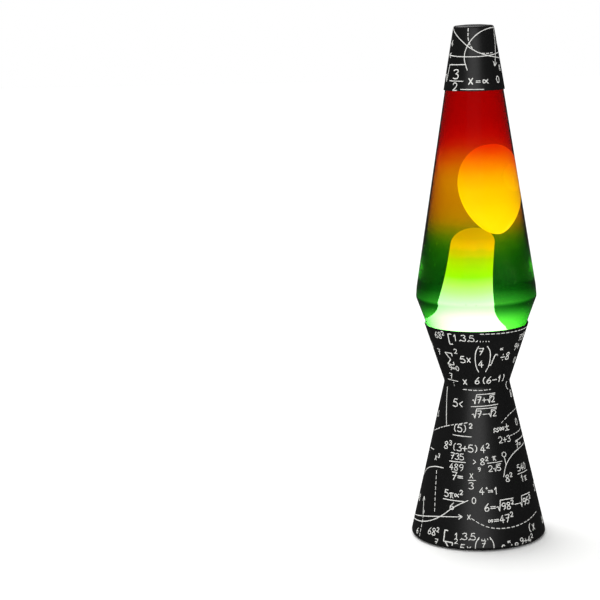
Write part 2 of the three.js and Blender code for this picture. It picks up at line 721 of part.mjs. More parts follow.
place("lava_liquid", lavaLiquid(), PAINT.liquid);
place("wax_pool", waxPool(), PAINT.wax);
place("wire_coil", wireCoil(), PAINT.steel);
place("wax_blob", waxBlob(), PAINT.wax);
place("cap_shell", capShell(), PAINT.blackLacquer);

export default lamp;
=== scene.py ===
"""The looks of a lava lamp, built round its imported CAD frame.

Every piece is a surface worked out on a grid with numpy, in millimetres, and put into its mesh in metres.
The lamp stands on the origin, +Z up, its front towards -Y.
"""

import math

import bmesh
import bpy
import numpy as np
from bpy.props import FloatProperty, FloatVectorProperty, IntProperty, PointerProperty
from bpy.types import Operator, Panel, PropertyGroup
from mathutils import Matrix, Vector


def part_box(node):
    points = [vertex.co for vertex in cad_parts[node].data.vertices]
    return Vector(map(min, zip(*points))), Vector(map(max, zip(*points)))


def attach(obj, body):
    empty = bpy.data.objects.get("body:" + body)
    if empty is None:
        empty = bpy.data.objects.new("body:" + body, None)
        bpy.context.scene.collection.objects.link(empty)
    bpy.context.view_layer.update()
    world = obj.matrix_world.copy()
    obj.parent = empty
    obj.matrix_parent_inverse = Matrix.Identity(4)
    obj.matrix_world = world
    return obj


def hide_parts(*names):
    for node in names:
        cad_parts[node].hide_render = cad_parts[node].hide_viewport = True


bl_info = {
    "name": "Lava Lamp",
    "version": (1, 0, 0),
    "blender": (4, 5, 0),
    "location": "View3D > Sidebar > Lava Lamp",
    "description": "Builds a lava lamp's visible pieces and its studio round a packed CAD frame",
    "category": "Add Mesh",
}

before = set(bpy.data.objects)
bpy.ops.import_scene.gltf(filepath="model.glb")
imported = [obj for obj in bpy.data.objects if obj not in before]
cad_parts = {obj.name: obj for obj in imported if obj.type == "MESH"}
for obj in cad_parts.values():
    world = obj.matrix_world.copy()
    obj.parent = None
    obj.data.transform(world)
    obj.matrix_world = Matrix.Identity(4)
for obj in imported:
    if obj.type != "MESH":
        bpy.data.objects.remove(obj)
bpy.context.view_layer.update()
MM = 0.001  # metres in a millimetre
TURN = 2 * np.pi


def low_mm(node):
    """A CAD node's lowest corner in millimetres."""
    return [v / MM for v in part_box(node)[0]]


def high_mm(node):
    """A CAD node's highest corner in millimetres."""
    return [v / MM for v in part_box(node)[1]]


def linear(code):
    """An sRGB hex colour as linear red, green, blue."""
    parts = np.array([int(code[i : i + 2], 16) for i in (1, 3, 5)]) / 255
    return tuple(np.where(parts <= 0.04045, parts / 12.92, ((parts + 0.055) / 1.055) ** 2.4).tolist())


# ---- Sizes and colours that a user would change --------------------------------------------------


def length(name, description, millimetres):
    """A length property with its default in millimetres."""
    return FloatProperty(
        name=name, description=description, default=millimetres * MM, unit="LENGTH", precision=5
    )


def colour(name, description, code):
    """A colour property with its default as a hex code."""
    return FloatVectorProperty(
        name=name, description=description, default=linear(code), subtype="COLOR", size=3, min=0, max=1
    )


class LampSizes(PropertyGroup):
    """Sizes of the lamp's visible pieces."""

    sheet: length("Base sheet", "Wall of the spun base", 0.8)
    waist_radius: length("Waist radius", "Outer radius at the crease of the hourglass", 25.4)
    waist_height: length("Waist height", "Height of the crease of the hourglass", 123.5)
    cap_sheet: length("Cap sheet", "Wall of the spun cap", 0.6)
    glass_wall: length("Glass wall", "Wall of the bottle", 2.6)
    stroke: length("Print stroke", "Width of a printed line", 0.82)
    ink: length("Ink thickness", "How far the print stands above the paint", 0.07)
    blob_radius: length("Blob radius", "Half the width of the floating wax", 18.6)
    pillar_radius: length("Pillar radius", "Radius of the rising wax under its round top", 11.9)
    facets: IntProperty(
        name="Facets", description="Facets round the big turned shells", default=192, min=24, max=512
    )


class LampColours(PropertyGroup):
    """Colours of the lamp's finishes."""

    lacquer: colour("Lacquer", "Satin black lacquer of the base and cap", "#101010")
    print_ink: colour("Print", "White screen ink", "#e6e6e2")
    wax: colour("Wax", "The wax itself, under its glow", "#ffe61e")
    rubber: colour("Rubber", "Moulded rubber of the feet and grommet", "#1b1b1c")
    holder: colour("Holder", "Heat-resistant moulding of the lamp holder", "#e8e4d8")
    floor: colour("Floor", "Pale board that the lamp stands on", "#f4f4f3")


# ---- Surfaces ------------------------------------------------------------------------------------


def grid_faces(rows, columns, closed_rows=False, closed_columns=False):
    """Quads between neighbouring points of a rows by columns grid, joined round where an end is closed."""
    row = np.arange(rows if closed_rows else rows - 1)[:, None]
    column = np.arange(columns if closed_columns else columns - 1)[None, :]
    next_row, next_column = (row + 1) % rows, (column + 1) % columns
    corners = (
        row * columns + column,
        row * columns + next_column,
        next_row * columns + next_column,
        next_row * columns + column,
    )
    return np.stack(np.broadcast_arrays(*corners), -1).reshape(-1, 4)


def joined(surfaces):
    """Several (points, faces) surfaces as one."""
    starts = np.cumsum([0] + [len(points) for points, _ in surfaces[:-1]])
    points = np.concatenate([points for points, _ in surfaces])
    faces = np.concatenate([faces + start for (_, faces), start in zip(surfaces, starts)])
    return points, faces


def rounded(corners, closed=False):
    """A line through (radius, height, fillet) corners, each fillet an arc that touches both its sides.

    The arc starts at fillet / tan(half the corner's angle) from the corner on each side.
    """
    count = len(corners)
    line = []
    for i, corner in enumerate(corners):
        here = np.array(corner[:2], float)
        fillet = corner[2] if len(corner) > 2 else 0
        if fillet == 0 or (not closed and i in (0, count - 1)):
            line.append(here)
            continue
        back = np.array(corners[i - 1][:2], float) - here
        on = np.array(corners[(i + 1) % count][:2], float) - here
        back, on = back / np.linalg.norm(back), on / np.linalg.norm(on)
        half = math.acos(np.clip(back @ on, -1, 1)) / 2
        middle = (back + on) / np.linalg.norm(back + on)
        centre = here + middle * fillet / math.sin(half)
        reach = fillet / math.tan(half)
        start, end = here + back * reach - centre, here + on * reach - centre
        sweep = math.atan2(start[0] * end[1] - start[1] * end[0], start @ end)
        steps = max(3, int(abs(sweep) / 0.12))
        for angle in np.linspace(0, sweep, steps):
            c, s = math.cos(angle), math.sin(angle)
            line.append(centre + [start[0] * c - start[1] * s, start[0] * s + start[1] * c])
    return np.array(line)


def arc(centre, radius, start, end, steps=16):
    """Points (radius, height) along an arc, its angles in degrees."""
    angle = np.radians(np.linspace(start, end, steps))
    return np.stack([centre[0] + radius * np.cos(angle), centre[1] + radius * np.sin(angle)], 1)


def evened(line, spacing):
    """A line with its long stretches divided so that no step is much over the spacing."""
    line = np.asarray(line, float)
    steps = np.maximum(1, np.ceil(np.linalg.norm(np.diff(line, axis=0), axis=1) / spacing).astype(int))
    spans = [a + (b - a) * np.arange(n)[:, None] / n for a, b, n in zip(line, line[1:], steps)]
    return np.concatenate(spans + [line[-1:]])


def turned(profile, facets, closed=False, swell=None):
    """A profile of (radius, height) carried round the Z axis: x = r cos a, y = r sin a, z = h.

    The profile goes up its outside first. swell(angle, radius, height) may add to the radius.
    """
    radius = np.asarray(profile, float)[:, 0][:, None]
    height = np.asarray(profile, float)[:, 1][:, None]
    angle = np.arange(facets)[None, :] * TURN / facets
    radius, height, angle = np.broadcast_arrays(radius, height, angle)
    if swell:
        radius = radius + swell(angle, radius, height)
    points = np.stack([radius * np.cos(angle), radius * np.sin(angle), height], -1).reshape(-1, 3)
    return points, grid_faces(*radius.shape, closed_rows=closed, closed_columns=True)


def with_ends(rings):
    """Rings of points with each end ring's middle repeated as one ring more, a fan that closes the end."""
    ends = [np.repeat(rings[i].mean(0)[None, None], rings.shape[1], 1) for i in (0, -1)]
    return np.concatenate([ends[0], rings, ends[1]])


def swept(section, path, closed_path=False):
    """A closed section of (side, up) points carried along a path, each ring square to the path's direction.

    side is level, square to the path; up is square to both. Open ends are closed by a fan onto their middle.
    """
    section, path = np.asarray(section, float), np.asarray(path, float)
    if closed_path:
        ahead = np.roll(path, -1, 0) - np.roll(path, 1, 0)
    else:
        ahead = np.gradient(path, axis=0)
    ahead /= np.linalg.norm(ahead, axis=1, keepdims=True)
    level = np.cross(ahead, [0.0, 0.0, 1.0])
    upright = np.linalg.norm(level, axis=1) < 1e-3
    level[upright] = [1.0, 0.0, 0.0]
    level /= np.linalg.norm(level, axis=1, keepdims=True)
    up = np.cross(level, ahead)
    rings = path[:, None] + level[:, None] * section[None, :, :1] + up[:, None] * section[None, :, 1:2]
    if not closed_path:
        ends = [np.repeat(path[i][None, None], len(section), 1) for i in (0, -1)]
        rings = np.concatenate([ends[0], rings, ends[1]])
    faces = grid_faces(len(rings), len(section), closed_rows=closed_path, closed_columns=True)
    return rings.reshape(-1, 3), faces


def circle(radius, count=16, squeeze=1.0):
    """A round section."""
    angle = np.arange(count) * TURN / count
    return np.stack([radius * np.cos(angle), squeeze * radius * np.sin(angle)], 1)


def rounded_box(centre, size, corner, steps=24):
    """A box with soft edges: a superellipsoid, each axis a signed power of a sphere's sine and cosine."""
    power = 2 * corner
    up = np.linspace(-np.pi / 2, np.pi / 2, steps)[:, None]
    round_ = np.arange(2 * steps)[None, :] * TURN / (2 * steps)

    def soft(value):
        return np.sign(value) * np.abs(value) ** power

    x = soft(np.cos(up)) * soft(np.cos(round_))
    y = soft(np.cos(up)) * soft(np.sin(round_))
    z = soft(np.sin(up)) * np.ones_like(round_)
    points = np.stack([x, y, z], -1).reshape(-1, 3) * np.array(size) / 2 + np.array(centre)
    return points, grid_faces(steps, 2 * steps, closed_columns=True)


def prism(outline, low, high, bevel=0.3):
    """A level outline carried up, with a small bevel at both ends: inset rings at the two rims."""
    outline = np.asarray(outline, float)
    middle = outline.mean(0)
    inset = middle + (outline - middle) * (1 - bevel / np.linalg.norm(outline - middle, axis=1).mean())
    rings = [
        (np.repeat(middle[None], len(outline), 0), low),
        (inset, low),
        (outline, low + bevel),
        (outline, high - bevel),
        (inset, high),
        (np.repeat(middle[None], len(outline), 0), high),
    ]
    points = [np.column_stack([ring, np.full(len(ring), z)]) for ring, z in rings]
    return np.concatenate(points), grid_faces(len(rings), len(outline), closed_columns=True)


def moved(surface, shift=(0, 0, 0), tilt=None):
    """A surface turned by a 3 by 3 matrix, then shifted."""
    points, faces = surface
    if tilt is not None:
        points = points @ np.asarray(tilt).T
    return points + np.asarray(shift, float), faces


def tilt_about_x(degrees):
    """The matrix of a turn about X."""
    c, s = math.cos(math.radians(degrees)), math.sin(math.radians(degrees))
    return np.array([[1, 0, 0], [0, c, -s], [0, s, c]])


def tilt_about_y(degrees):
    """The matrix of a turn about Y."""
    c, s = math.cos(math.radians(degrees)), math.sin(math.radians(degrees))
    return np.array([[c, 0, s], [0, 1, 0], [-s, 0, c]])


def tilt_about_z(degrees):
    """The matrix of a turn about Z."""
    c, s = math.cos(math.radians(degrees)), math.sin(math.radians(degrees))
    return np.array([[c, -s, 0], [s, c, 0], [0, 0, 1]])


# ---- Pieces --------------------------------------------------------------------------------------


def mesh_of(name, surface, dissolve=False):
    """A mesh in metres from a surface in millimetres, its doubles merged and its faces turned outwards."""
    points, faces = surface
    mesh = bpy.data.meshes.new(name)
    mesh.from_pydata((points * MM).tolist(), [], faces.tolist())
    tidy = bmesh.new()
    tidy.from_mesh(mesh)
    bmesh.ops.remove_doubles(tidy, verts=tidy.verts, dist=1e-6)
    if dissolve:
        bmesh.ops.dissolve_degenerate(tidy, edges=tidy.edges, dist=1e-7)
    bmesh.ops.recalc_face_normals(tidy, faces=tidy.faces)
    tidy.to_mesh(mesh)
    tidy.free()
    return mesh


def put_in_scene(name, data):
    """A new object with this data, linked to the scene."""
    thing = bpy.data.objects.new(name, data)
    bpy.context.scene.collection.objects.link(thing)
    return thing


def smooth(mesh, crease):
    """Smooth shading with an edge kept sharp where its faces turn by more than the crease angle."""
    mesh.polygons.foreach_set("use_smooth", np.ones(len(mesh.polygons), bool))
    mesh.set_sharp_from_angle(angle=math.radians(crease))


def piece(name, surface, finishes, body, replaces=(), crease=35):
    """A mesh object from a surface in millimetres, riding on its body and standing for its CAD nodes."""
    mesh = mesh_of(name, surface, dissolve=True)
    thing = put_in_scene(name, mesh)
    for finish in finishes:
        mesh.materials.append(finish)
    smooth(mesh, crease)
    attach(thing, body)
    if replaces:
        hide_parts(*replaces)
    return thing


def cut(thing, cutters, crease=35):
    """Takes closed surfaces out of a piece. The surfaces of one cut don't overlap one another."""
    tool = put_in_scene("cutter", mesh_of("cutter", joined(cutters)))
    modifier = thing.modifiers.new("cut", "BOOLEAN")
    modifier.operation = "DIFFERENCE"
    modifier.solver = "EXACT"
    modifier.object = tool
    depsgraph = bpy.context.evaluated_depsgraph_get()
    result = bpy.data.meshes.new_from_object(thing.evaluated_get(depsgraph))
    thing.modifiers.clear()
    old, tool_mesh = thing.data, tool.data
    thing.data = result
    result.name = thing.name
    bpy.data.meshes.remove(old)
    bpy.data.objects.remove(tool)
    bpy.data.meshes.remove(tool_mesh)
    smooth(result, crease)


def rod(radius, low, high, count=32):
    """A plain round bar along Z."""
    return turned([[0, low], [radius, low], [radius, high], [0, high]], count)


# ---- Finishes ------------------------------------------------------------------------------------


def add_node(tree, kind, settings=None, inputs=None, links=None, stops=()):
    """Adds a node with its settings, its inputs' values, and links into its inputs from other sockets.

    stops are a colour ramp's own: (place from 0 to 1, linear colour), from low to high.
    """
    node = tree.nodes.new(kind)
    for name, value in (settings or {}).items():
        setattr(node, name, value)
    for name, value in (inputs or {}).items():
        node.inputs[name].default_value = value
    for name, socket in (links or {}).items():
        tree.links.new(socket, node.inputs[name])
    for _ in stops[2:]:
        node.color_ramp.elements.new(0.5)
    for element, (place, tone) in zip(node.color_ramp.elements if stops else (), stops):
        element.position = place
        element.color = (*tone[:3], 1)
    return node


def new_finish(name):
    """A material with an output node and nothing else: (material, node tree, output)."""
    material = bpy.data.materials.new(name)
    material.use_nodes = True
    tree = material.node_tree
    tree.nodes.clear()
    return material, tree, add_node(tree, "ShaderNodeOutputMaterial")


def height_share(tree, low, high):
    """0 at the low height and 1 at the high one, in millimetres up the lamp."""
    coordinates = add_node(tree, "ShaderNodeTexCoord")
    split = add_node(tree, "ShaderNodeSeparateXYZ", links={"Vector": coordinates.outputs["Object"]})
    share = add_node(
        tree,
        "ShaderNodeMapRange",
        inputs={"From Min": low * MM, "From Max": high * MM},
        links={"Value": split.outputs["Z"]},
    )
    return share.outputs["Result"]


def grain(tree, size_mm, detail=3.0, stretch=(1, 1, 1)):
    """Noise whose grains are about the given size, stretched along the object's axes, as a 0..1 socket."""
    coordinates = add_node(tree, "ShaderNodeTexCoord")
    mapping = add_node(
        tree, "ShaderNodeMapping", inputs={"Scale": stretch}, links={"Vector": coordinates.outputs["Object"]}
    )
    noise = add_node(
        tree,
        "ShaderNodeTexNoise",
        inputs={"Scale": 1 / (size_mm * MM), "Detail": detail},
        links={"Vector": mapping.outputs["Vector"]},
    )
    return noise.outputs["Fac"]


def shade(tone, factor):
    """A linear colour made darker or lighter, with the fourth value that a colour socket takes."""
    return (*(min(1.0, part * factor) for part in tone[:3]), 1.0)


def solid_finish(
    name, tone, roughness, spread=0.12, grain_mm=1.2, bump_mm=0.01, stretch=(1, 1, 1), **constants
):
    """An opaque finish whose colour and roughness wander a little with the grain of how it was made.

    constants go straight onto the shader's own sockets, such as Metallic or IOR. A finish that is already
    made is used again.
    """
    if name in bpy.data.materials:
        return bpy.data.materials[name]
    material, tree, output = new_finish(name)
    pattern = grain(tree, grain_mm, stretch=stretch)
    fine = grain(tree, grain_mm / 4, detail=2.0, stretch=stretch)
    tint = add_node(
        tree,
        "ShaderNodeMix",
        settings={"data_type": "RGBA"},
        inputs={6: shade(tone, 1 - spread), 7: shade(tone, 1 + spread)},
        links={0: pattern},
    )
    gloss = add_node(
        tree,
        "ShaderNodeMapRange",
        inputs={"To Min": roughness * 0.85, "To Max": min(1.0, roughness * 1.15)},
        links={"Value": fine},
    )
    relief = add_node(tree, "ShaderNodeBump", inputs={"Distance": bump_mm * MM}, links={"Height": fine})
    shader = add_node(
        tree,
        "ShaderNodeBsdfPrincipled",
        inputs={key.replace("_", " "): value for key, value in constants.items()},
        links={
            "Base Color": tint.outputs[2],
            "Roughness": gloss.outputs["Result"],
            "Normal": relief.outputs["Normal"],
        },
    )
    tree.links.new(shader.outputs["BSDF"], output.inputs["Surface"])
    return material


def satin_lacquer(colours):
    """Satin stoving lacquer sprayed on spun aluminium: near black, a broad soft sheen, faint spinning rings.

    The rings are 0.9 mm apart, drawn coarser than real ones so that they catch the light. The lacquer is
    rubbed a little at the foot.
    """
    material, tree, output = new_finish("satin_lacquer_on_spun_aluminium")
    tone = tuple(colours.lacquer)
    peel = grain(tree, 1.6, detail=3.0)
    rings = grain(tree, 0.9, detail=2.0, stretch=(0.02, 0.02, 1))
    clouds = grain(tree, 28, detail=2.0)
    coordinates = add_node(tree, "ShaderNodeTexCoord")
    split = add_node(tree, "ShaderNodeSeparateXYZ", links={"Vector": coordinates.outputs["Object"]})
    rim_low = add_node(
        tree,
        "ShaderNodeMapRange",
        inputs={"From Min": 1.4 * MM, "From Max": 0.9 * MM},
        links={"Value": split.outputs["Z"]},
    )
    worn = add_node(
        tree,
        "ShaderNodeMath",
        settings={"operation": "MULTIPLY"},
        links={0: rim_low.outputs["Result"], 1: peel},
    )
    body = add_node(
        tree,
        "ShaderNodeMix",
        settings={"data_type": "RGBA"},
        inputs={6: shade(tone, 0.75), 7: shade(tone, 1.35)},
        links={0: clouds},
    )
    rubbed = add_node(
        tree,
        "ShaderNodeMix",
        settings={"data_type": "RGBA"},
        inputs={7: (*linear("#77787a"), 1)},
        links={0: worn.outputs[0], 6: body.outputs[2]},
    )
    gloss = add_node(
        tree, "ShaderNodeMapRange", inputs={"To Min": 0.34, "To Max": 0.46}, links={"Value": peel}
    )
    height = add_node(tree, "ShaderNodeMath", settings={"operation": "ADD"}, links={0: peel, 1: rings})
    relief = add_node(
        tree,
        "ShaderNodeBump",
        inputs={"Strength": 0.5, "Distance": 0.012 * MM},
        links={"Height": height.outputs[0]},
    )
    shader = add_node(
        tree,
        "ShaderNodeBsdfPrincipled",
        inputs={"IOR": 1.5, "Specular IOR Level": 0.42},
        links={
            "Base Color": rubbed.outputs[2],
            "Roughness": gloss.outputs["Result"],
            "Normal": relief.outputs["Normal"],
        },
    )
    tree.links.new(shader.outputs["BSDF"], output.inputs["Surface"])
    return material


def screen_ink(colours):
    """White screen ink: flat and slightly chalky, with thin places where the black shows through."""
    material, tree, output = new_finish("white_screen_ink")
    tone = tuple(colours.print_ink)
    thin = grain(tree, 0.7, detail=4.0)
    cover = add_node(
        tree,
        "ShaderNodeValToRGB",
        links={"Fac": thin},
        stops=[(0.30, shade(tone, 0.62)), (0.48, shade(tone, 0.95)), (1, tone)],
    )
    relief = add_node(
        tree, "ShaderNodeBump", inputs={"Strength": 0.4, "Distance": 0.02 * MM}, links={"Height": thin}
    )
    shader = add_node(
        tree,
        "ShaderNodeBsdfPrincipled",
        inputs={"Roughness": 0.6, "Specular IOR Level": 0.3},
        links={"Base Color": cover.outputs["Color"], "Normal": relief.outputs["Normal"]},
    )
    tree.links.new(shader.outputs["BSDF"], output.inputs["Surface"])
    return material


# Colour of the coat by height: what white light looks like after both walls. Each is (height in mm, hex).
COAT = (
    (150, "#09480a"),
    (206, "#0a4c0a"),
    (214, "#0e520a"),
    (222, "#175a09"),
    (229, "#246907"),
    (235, "#407605"),
    (241, "#727d03"),
    (248, "#a47f02"),
    (255, "#b27f02"),
    (262, "#b97b02"),
    (270, "#be7b02"),
    (280, "#c68302"),
    (289, "#c87902"),
    (296, "#cb6202"),
    (304, "#c44402"),
    (309, "#bf2904"),
    (314, "#b91103"),
    (320, "#b00502"),
    (330, "#a50202"),
    (350, "#9e0202"),
)


LIQUID_INDEX = 1.36  # of the liquid, which the filled bottle bends light like


def coated_glass():
    """Clear soda-lime bottle with a sprayed transparent lacquer that fades from green through amber to red.

    The bottle is full of liquid, so a ray that goes in meets one clear body up to the far wall. The
    lacquer's colour here is what light keeps after passing both walls. A slanting ray passes more of it, so
    the tint is raised to the power 1 + slope * facing^2, where the slope is steeper on the way out. So the
    glass darkens towards its edges: partly the longer path through the lacquer, partly painted shade, which
    the steeper slope on the far wall adds.
    """
    material, tree, output = new_finish("glass_with_fading_lacquer")
    low, high = COAT[0][0], COAT[-1][0]
    share = height_share(tree, low, high)
    uneven = grain(tree, 16, detail=2.0)
    shifted_share = add_node(
        tree,
        "ShaderNodeMath",
        settings={"operation": "MULTIPLY_ADD"},
        inputs={1: 0.03},
        links={0: uneven, 2: share},
    )
    tint = add_node(
        tree,
        "ShaderNodeValToRGB",
        links={"Fac": shifted_share.outputs[0]},
        stops=[((height - low) / (high - low), linear(code)) for height, code in COAT],
    )
    slant = add_node(tree, "ShaderNodeLayerWeight", inputs={"Blend": 0.5})
    leaving = add_node(tree, "ShaderNodeNewGeometry")
    slope = add_node(
        tree,
        "ShaderNodeMapRange",
        inputs={"To Min": 1.0, "To Max": 8.0},
        links={"Value": leaving.outputs["Backfacing"]},
    )
    squared = add_node(
        tree,
        "ShaderNodeMath",
        settings={"operation": "POWER"},
        inputs={1: 2.0},
        links={0: slant.outputs["Facing"]},
    )
    # partly painted shade: the tint darkens towards the glass's edges, most steeply on the far wall
    path_and_painted_shade = add_node(
        tree,
        "ShaderNodeMath",
        settings={"operation": "MULTIPLY_ADD"},
        inputs={2: 1.0},
        links={0: squared.outputs[0], 1: slope.outputs["Result"]},
    )
    tint_with_painted_edge_shade = add_node(
        tree, "ShaderNodeGamma", links={"Color": tint.outputs["Color"], "Gamma": path_and_painted_shade.outputs[0]}
    )
    shader = add_node(
        tree,
        "ShaderNodeBsdfPrincipled",
        inputs={
            "IOR": LIQUID_INDEX,
            "Roughness": 0.0,
            "Transmission Weight": 1.0,
            "Specular Tint": (0.04, 0.04, 0.04, 1),
        },
        links={"Base Color": tint_with_painted_edge_shade.outputs["Color"]},
    )
    tree.links.new(shader.outputs["BSDF"], output.inputs["Surface"])
    return material


def inner_glass():
    """The glass's inside, wetted by a liquid of nearly the same index, so light goes straight through."""
    material, tree, output = new_finish("wetted_inner_glass")
    film = grain(tree, 20, detail=2.0)
    gloss = add_node(
        tree, "ShaderNodeMapRange", inputs={"To Min": 0.05, "To Max": 0.15}, links={"Value": film}
    )
    shader = add_node(
        tree,
        "ShaderNodeBsdfPrincipled",
        inputs={"Specular IOR Level": 0.0, "Alpha": 0.0, "Base Color": (1, 1, 1, 1)},
        links={"Roughness": gloss.outputs["Result"]},
    )
    tree.links.new(shader.outputs["BSDF"], output.inputs["Surface"])
    return material


def lamp_liquid():
    """Clear water-based liquid with a breath of haze that catches the bulb's light low down."""
    material, tree, output = new_finish("clear_lamp_liquid")
    haze = grain(tree, 30, detail=2.0)
    glow = add_node(
        tree,
        "ShaderNodeValToRGB",
        links={"Fac": height_share(tree, 170, 192.5)},
        stops=[
            (0, (2.0, 2.6, 0.9)),
            (0.35, (1.1, 1.7, 0.5)),
            (0.6, (0.3, 0.7, 0.2)),
            (0.8, (0.02, 0.12, 0.02)),
            (1, (0, 0, 0)),
        ],
    )
    tint = add_node(
        tree,
        "ShaderNodeMix",
        settings={"data_type": "RGBA"},
        inputs={6: (*linear("#2e322c"), 1), 7: (*linear("#3a3e38"), 1)},
        links={0: haze},
    )
    shader = add_node(
        tree,
        "ShaderNodeBsdfPrincipled",
        inputs={"Roughness": 0.3, "Specular IOR Level": 0.0, "Alpha": 0.04, "Emission Strength": 30.0},
        links={"Base Color": tint.outputs[2], "Emission Color": glow.outputs["Color"]},
    )
    tree.links.new(shader.outputs["BSDF"], output.inputs["Surface"])
    return material


def glowing_wax(colours, name, glow):
    """Melted paraffin wax lit from under by the bulb: a soft even glow, brighter and whiter towards the bulb.

    glow is (height in mm, the light's red, green and blue) from low to high.
    """
    material, tree, output = new_finish(name)
    low, high = glow[0][0], glow[-1][0]
    most = max(max(tone) for _, tone in glow)
    light = add_node(
        tree,
        "ShaderNodeValToRGB",
        links={"Fac": height_share(tree, low, high)},
        stops=[((height - low) / (high - low), shade(tone, 1 / most)) for height, tone in glow],
    )
    ripple = grain(tree, 14, detail=2.0)
    tone = tuple(colours.wax)
    tint = add_node(
        tree,
        "ShaderNodeMix",
        settings={"data_type": "RGBA"},
        inputs={6: shade(tone, 0.12), 7: shade(tone, 0.18)},
        links={0: ripple},
    )
    relief = add_node(
        tree, "ShaderNodeBump", inputs={"Strength": 0.3, "Distance": 0.3 * MM}, links={"Height": ripple}
    )
    shader = add_node(
        tree,
        "ShaderNodeBsdfPrincipled",
        inputs={"Roughness": 0.45, "Specular IOR Level": 0.1, "Emission Strength": most},
        links={
            "Base Color": tint.outputs[2],
            "Emission Color": light.outputs["Color"],
            "Normal": relief.outputs["Normal"],
        },
    )
    tree.links.new(shader.outputs["BSDF"], output.inputs["Surface"])
    return material


def lit_glass(name, tone, strength, roughness):
    """Glass that the filament lights from behind, with a faint mottle from its frosting."""
    material, tree, output = new_finish(name)
    frost = grain(tree, 2.5, detail=3.0)
    tint = add_node(
        tree,
        "ShaderNodeMix",
        settings={"data_type": "RGBA"},
        inputs={6: shade(tone, 0.9), 7: shade(tone, 1)},
        links={0: frost},
    )
    light = add_node(
        tree,
        "ShaderNodeMix",
        settings={"data_type": "RGBA"},
        inputs={6: shade(tone, 0.85), 7: shade(tone, 1)},
        links={0: frost},
    )
    relief = add_node(
        tree, "ShaderNodeBump", inputs={"Strength": 0.4, "Distance": 0.03 * MM}, links={"Height": frost}
    )
    shader = add_node(
        tree,
        "ShaderNodeBsdfPrincipled",
        inputs={"IOR": 1.5, "Roughness": roughness, "Emission Strength": strength},
        links={
            "Base Color": tint.outputs[2],
            "Emission Color": light.outputs[2],
            "Normal": relief.outputs["Normal"],
        },
    )
    tree.links.new(shader.outputs["BSDF"], output.inputs["Surface"])
    return material


def clear_stem_glass():
    """Clear drawn glass of the bulb's stem."""
    material, tree, output = new_finish("clear_drawn_glass")
    streak = grain(tree, 1.0, detail=2.0, stretch=(1, 1, 0.1))
    gloss = add_node(
        tree, "ShaderNodeMapRange", inputs={"To Min": 0.02, "To Max": 0.1}, links={"Value": streak}
    )
    shader = add_node(
        tree,
        "ShaderNodeBsdfPrincipled",
        inputs={"IOR": 1.5, "Transmission Weight": 0.9, "Base Color": (*linear("#eef4f2"), 1)},
        links={"Roughness": gloss.outputs["Result"]},
    )
    tree.links.new(shader.outputs["BSDF"], output.inputs["Surface"])
    return material


def pale_board(colours):
    """Matt painted studio board."""
    return solid_finish(
        "matt_painted_board",
        tuple(colours.floor),
        0.9,
        spread=0.006,
        grain_mm=60,
        bump_mm=0.0,
        Specular_IOR_Level=0.1,
    )


def moulded_rubber(colours):
    """Black rubber from a mould: dull all over, with a fine even pitting."""
    return solid_finish("moulded_black_rubber", tuple(colours.rubber), 0.75, grain_mm=0.8, bump_mm=0.015)


def bright_zinc():
    """Steel plated with zinc in a barrel: a pale metal with small softly mottled glints."""
    return solid_finish(
        "bright_zinc_plate", linear("#b9bdc0"), 0.32, spread=0.08, grain_mm=0.5, bump_mm=0.004, Metallic=1.0
    )


def rolled_brass():
    """Rolled sheet brass: a warm yellow metal, smooth, with a faint streakiness."""
    return solid_finish(
        "rolled_brass", linear("#c8a552"), 0.3, spread=0.1, grain_mm=1.5, bump_mm=0.006, Metallic=1.0
    )


def rolled_tinplate():
    """Rolled steel sheet dipped in tin: a bright, slightly warm grey metal."""
    return solid_finish(
        "rolled_tinplate", linear("#c9c9c4"), 0.28, spread=0.06, bump_mm=0.005, Metallic=1.0
    )


# ---- Base and its print --------------------------------------------------------------------------

FOOT_CURL = (50.834, 2.885)  # centre of the rolled foot, which is tangent to the cone
CONE_FOOT = (52.95, 2.6)
RIM = (40.35, 170.0)


def base_outside(sizes):
    """The base's outer line from its inward flange, round the rolled foot, up to the rim."""
    waist = (sizes.waist_radius / MM, sizes.waist_height / MM, 6.0)
    flange = rounded([(39.5, 3.5), (48.834, 3.5, 0.5), (48.834, FOOT_CURL[1])])
    curl = arc(FOOT_CURL, 2.0, 180, 360 + 12.8, 28)
    wall = rounded([CONE_FOOT, waist, (RIM[0], RIM[1] - 0.4)])[1:]
    return np.concatenate([flange, curl[1:], evened(np.concatenate([curl[-1:], wall]), 5.0)[1:]])


def offset_inwards(line, distance):
    """The line beside a (radius, height) line, at a distance along the mean of its two sides' normals."""
    step = np.gradient(line, axis=0)
    step /= np.linalg.norm(step, axis=1, keepdims=True)
    return line + distance * np.stack([-step[:, 1], step[:, 0]], 1)


def build_base(sizes, colours):
    """The hourglass: its outer line, a half-round rim, and the line a sheet's thickness inside, turned."""
    sheet = sizes.sheet / MM
    outer = base_outside(sizes)
    inner = offset_inwards(outer, sheet)
    lip = (outer[-1] + inner[-1]) / 2
    start = math.degrees(math.atan2(*(outer[-1] - lip)[::-1]))
    rim = arc(lip, sheet / 2, start, start + 180, 8)
    shell = turned(np.concatenate([outer, rim[1:-1], inner[::-1]]), sizes.facets, closed=True)
    base = piece("spun_base", shell, [satin_lacquer(colours)], "base", ["base_shell"])
    holes = [outlet_placed(rod(5.7, -8, 8, 48))]
    for screw in SCREW_PLACES:
        holes.append(moved(rod(1.8, 2, 6), (*screw, 0)))
    cut(base, holes)
    base.data.materials.clear()
    base.data.materials.append(bpy.data.materials["satin_lacquer_on_spun_aluminium"])


def ring_places(count, radius, first):
    """Places round the axis: (x, y) at equal angles from the first one, in degrees."""
    angle = np.radians(first + 360 * np.arange(count) / count)
    return np.stack([radius * np.cos(angle), radius * np.sin(angle)], 1).tolist()


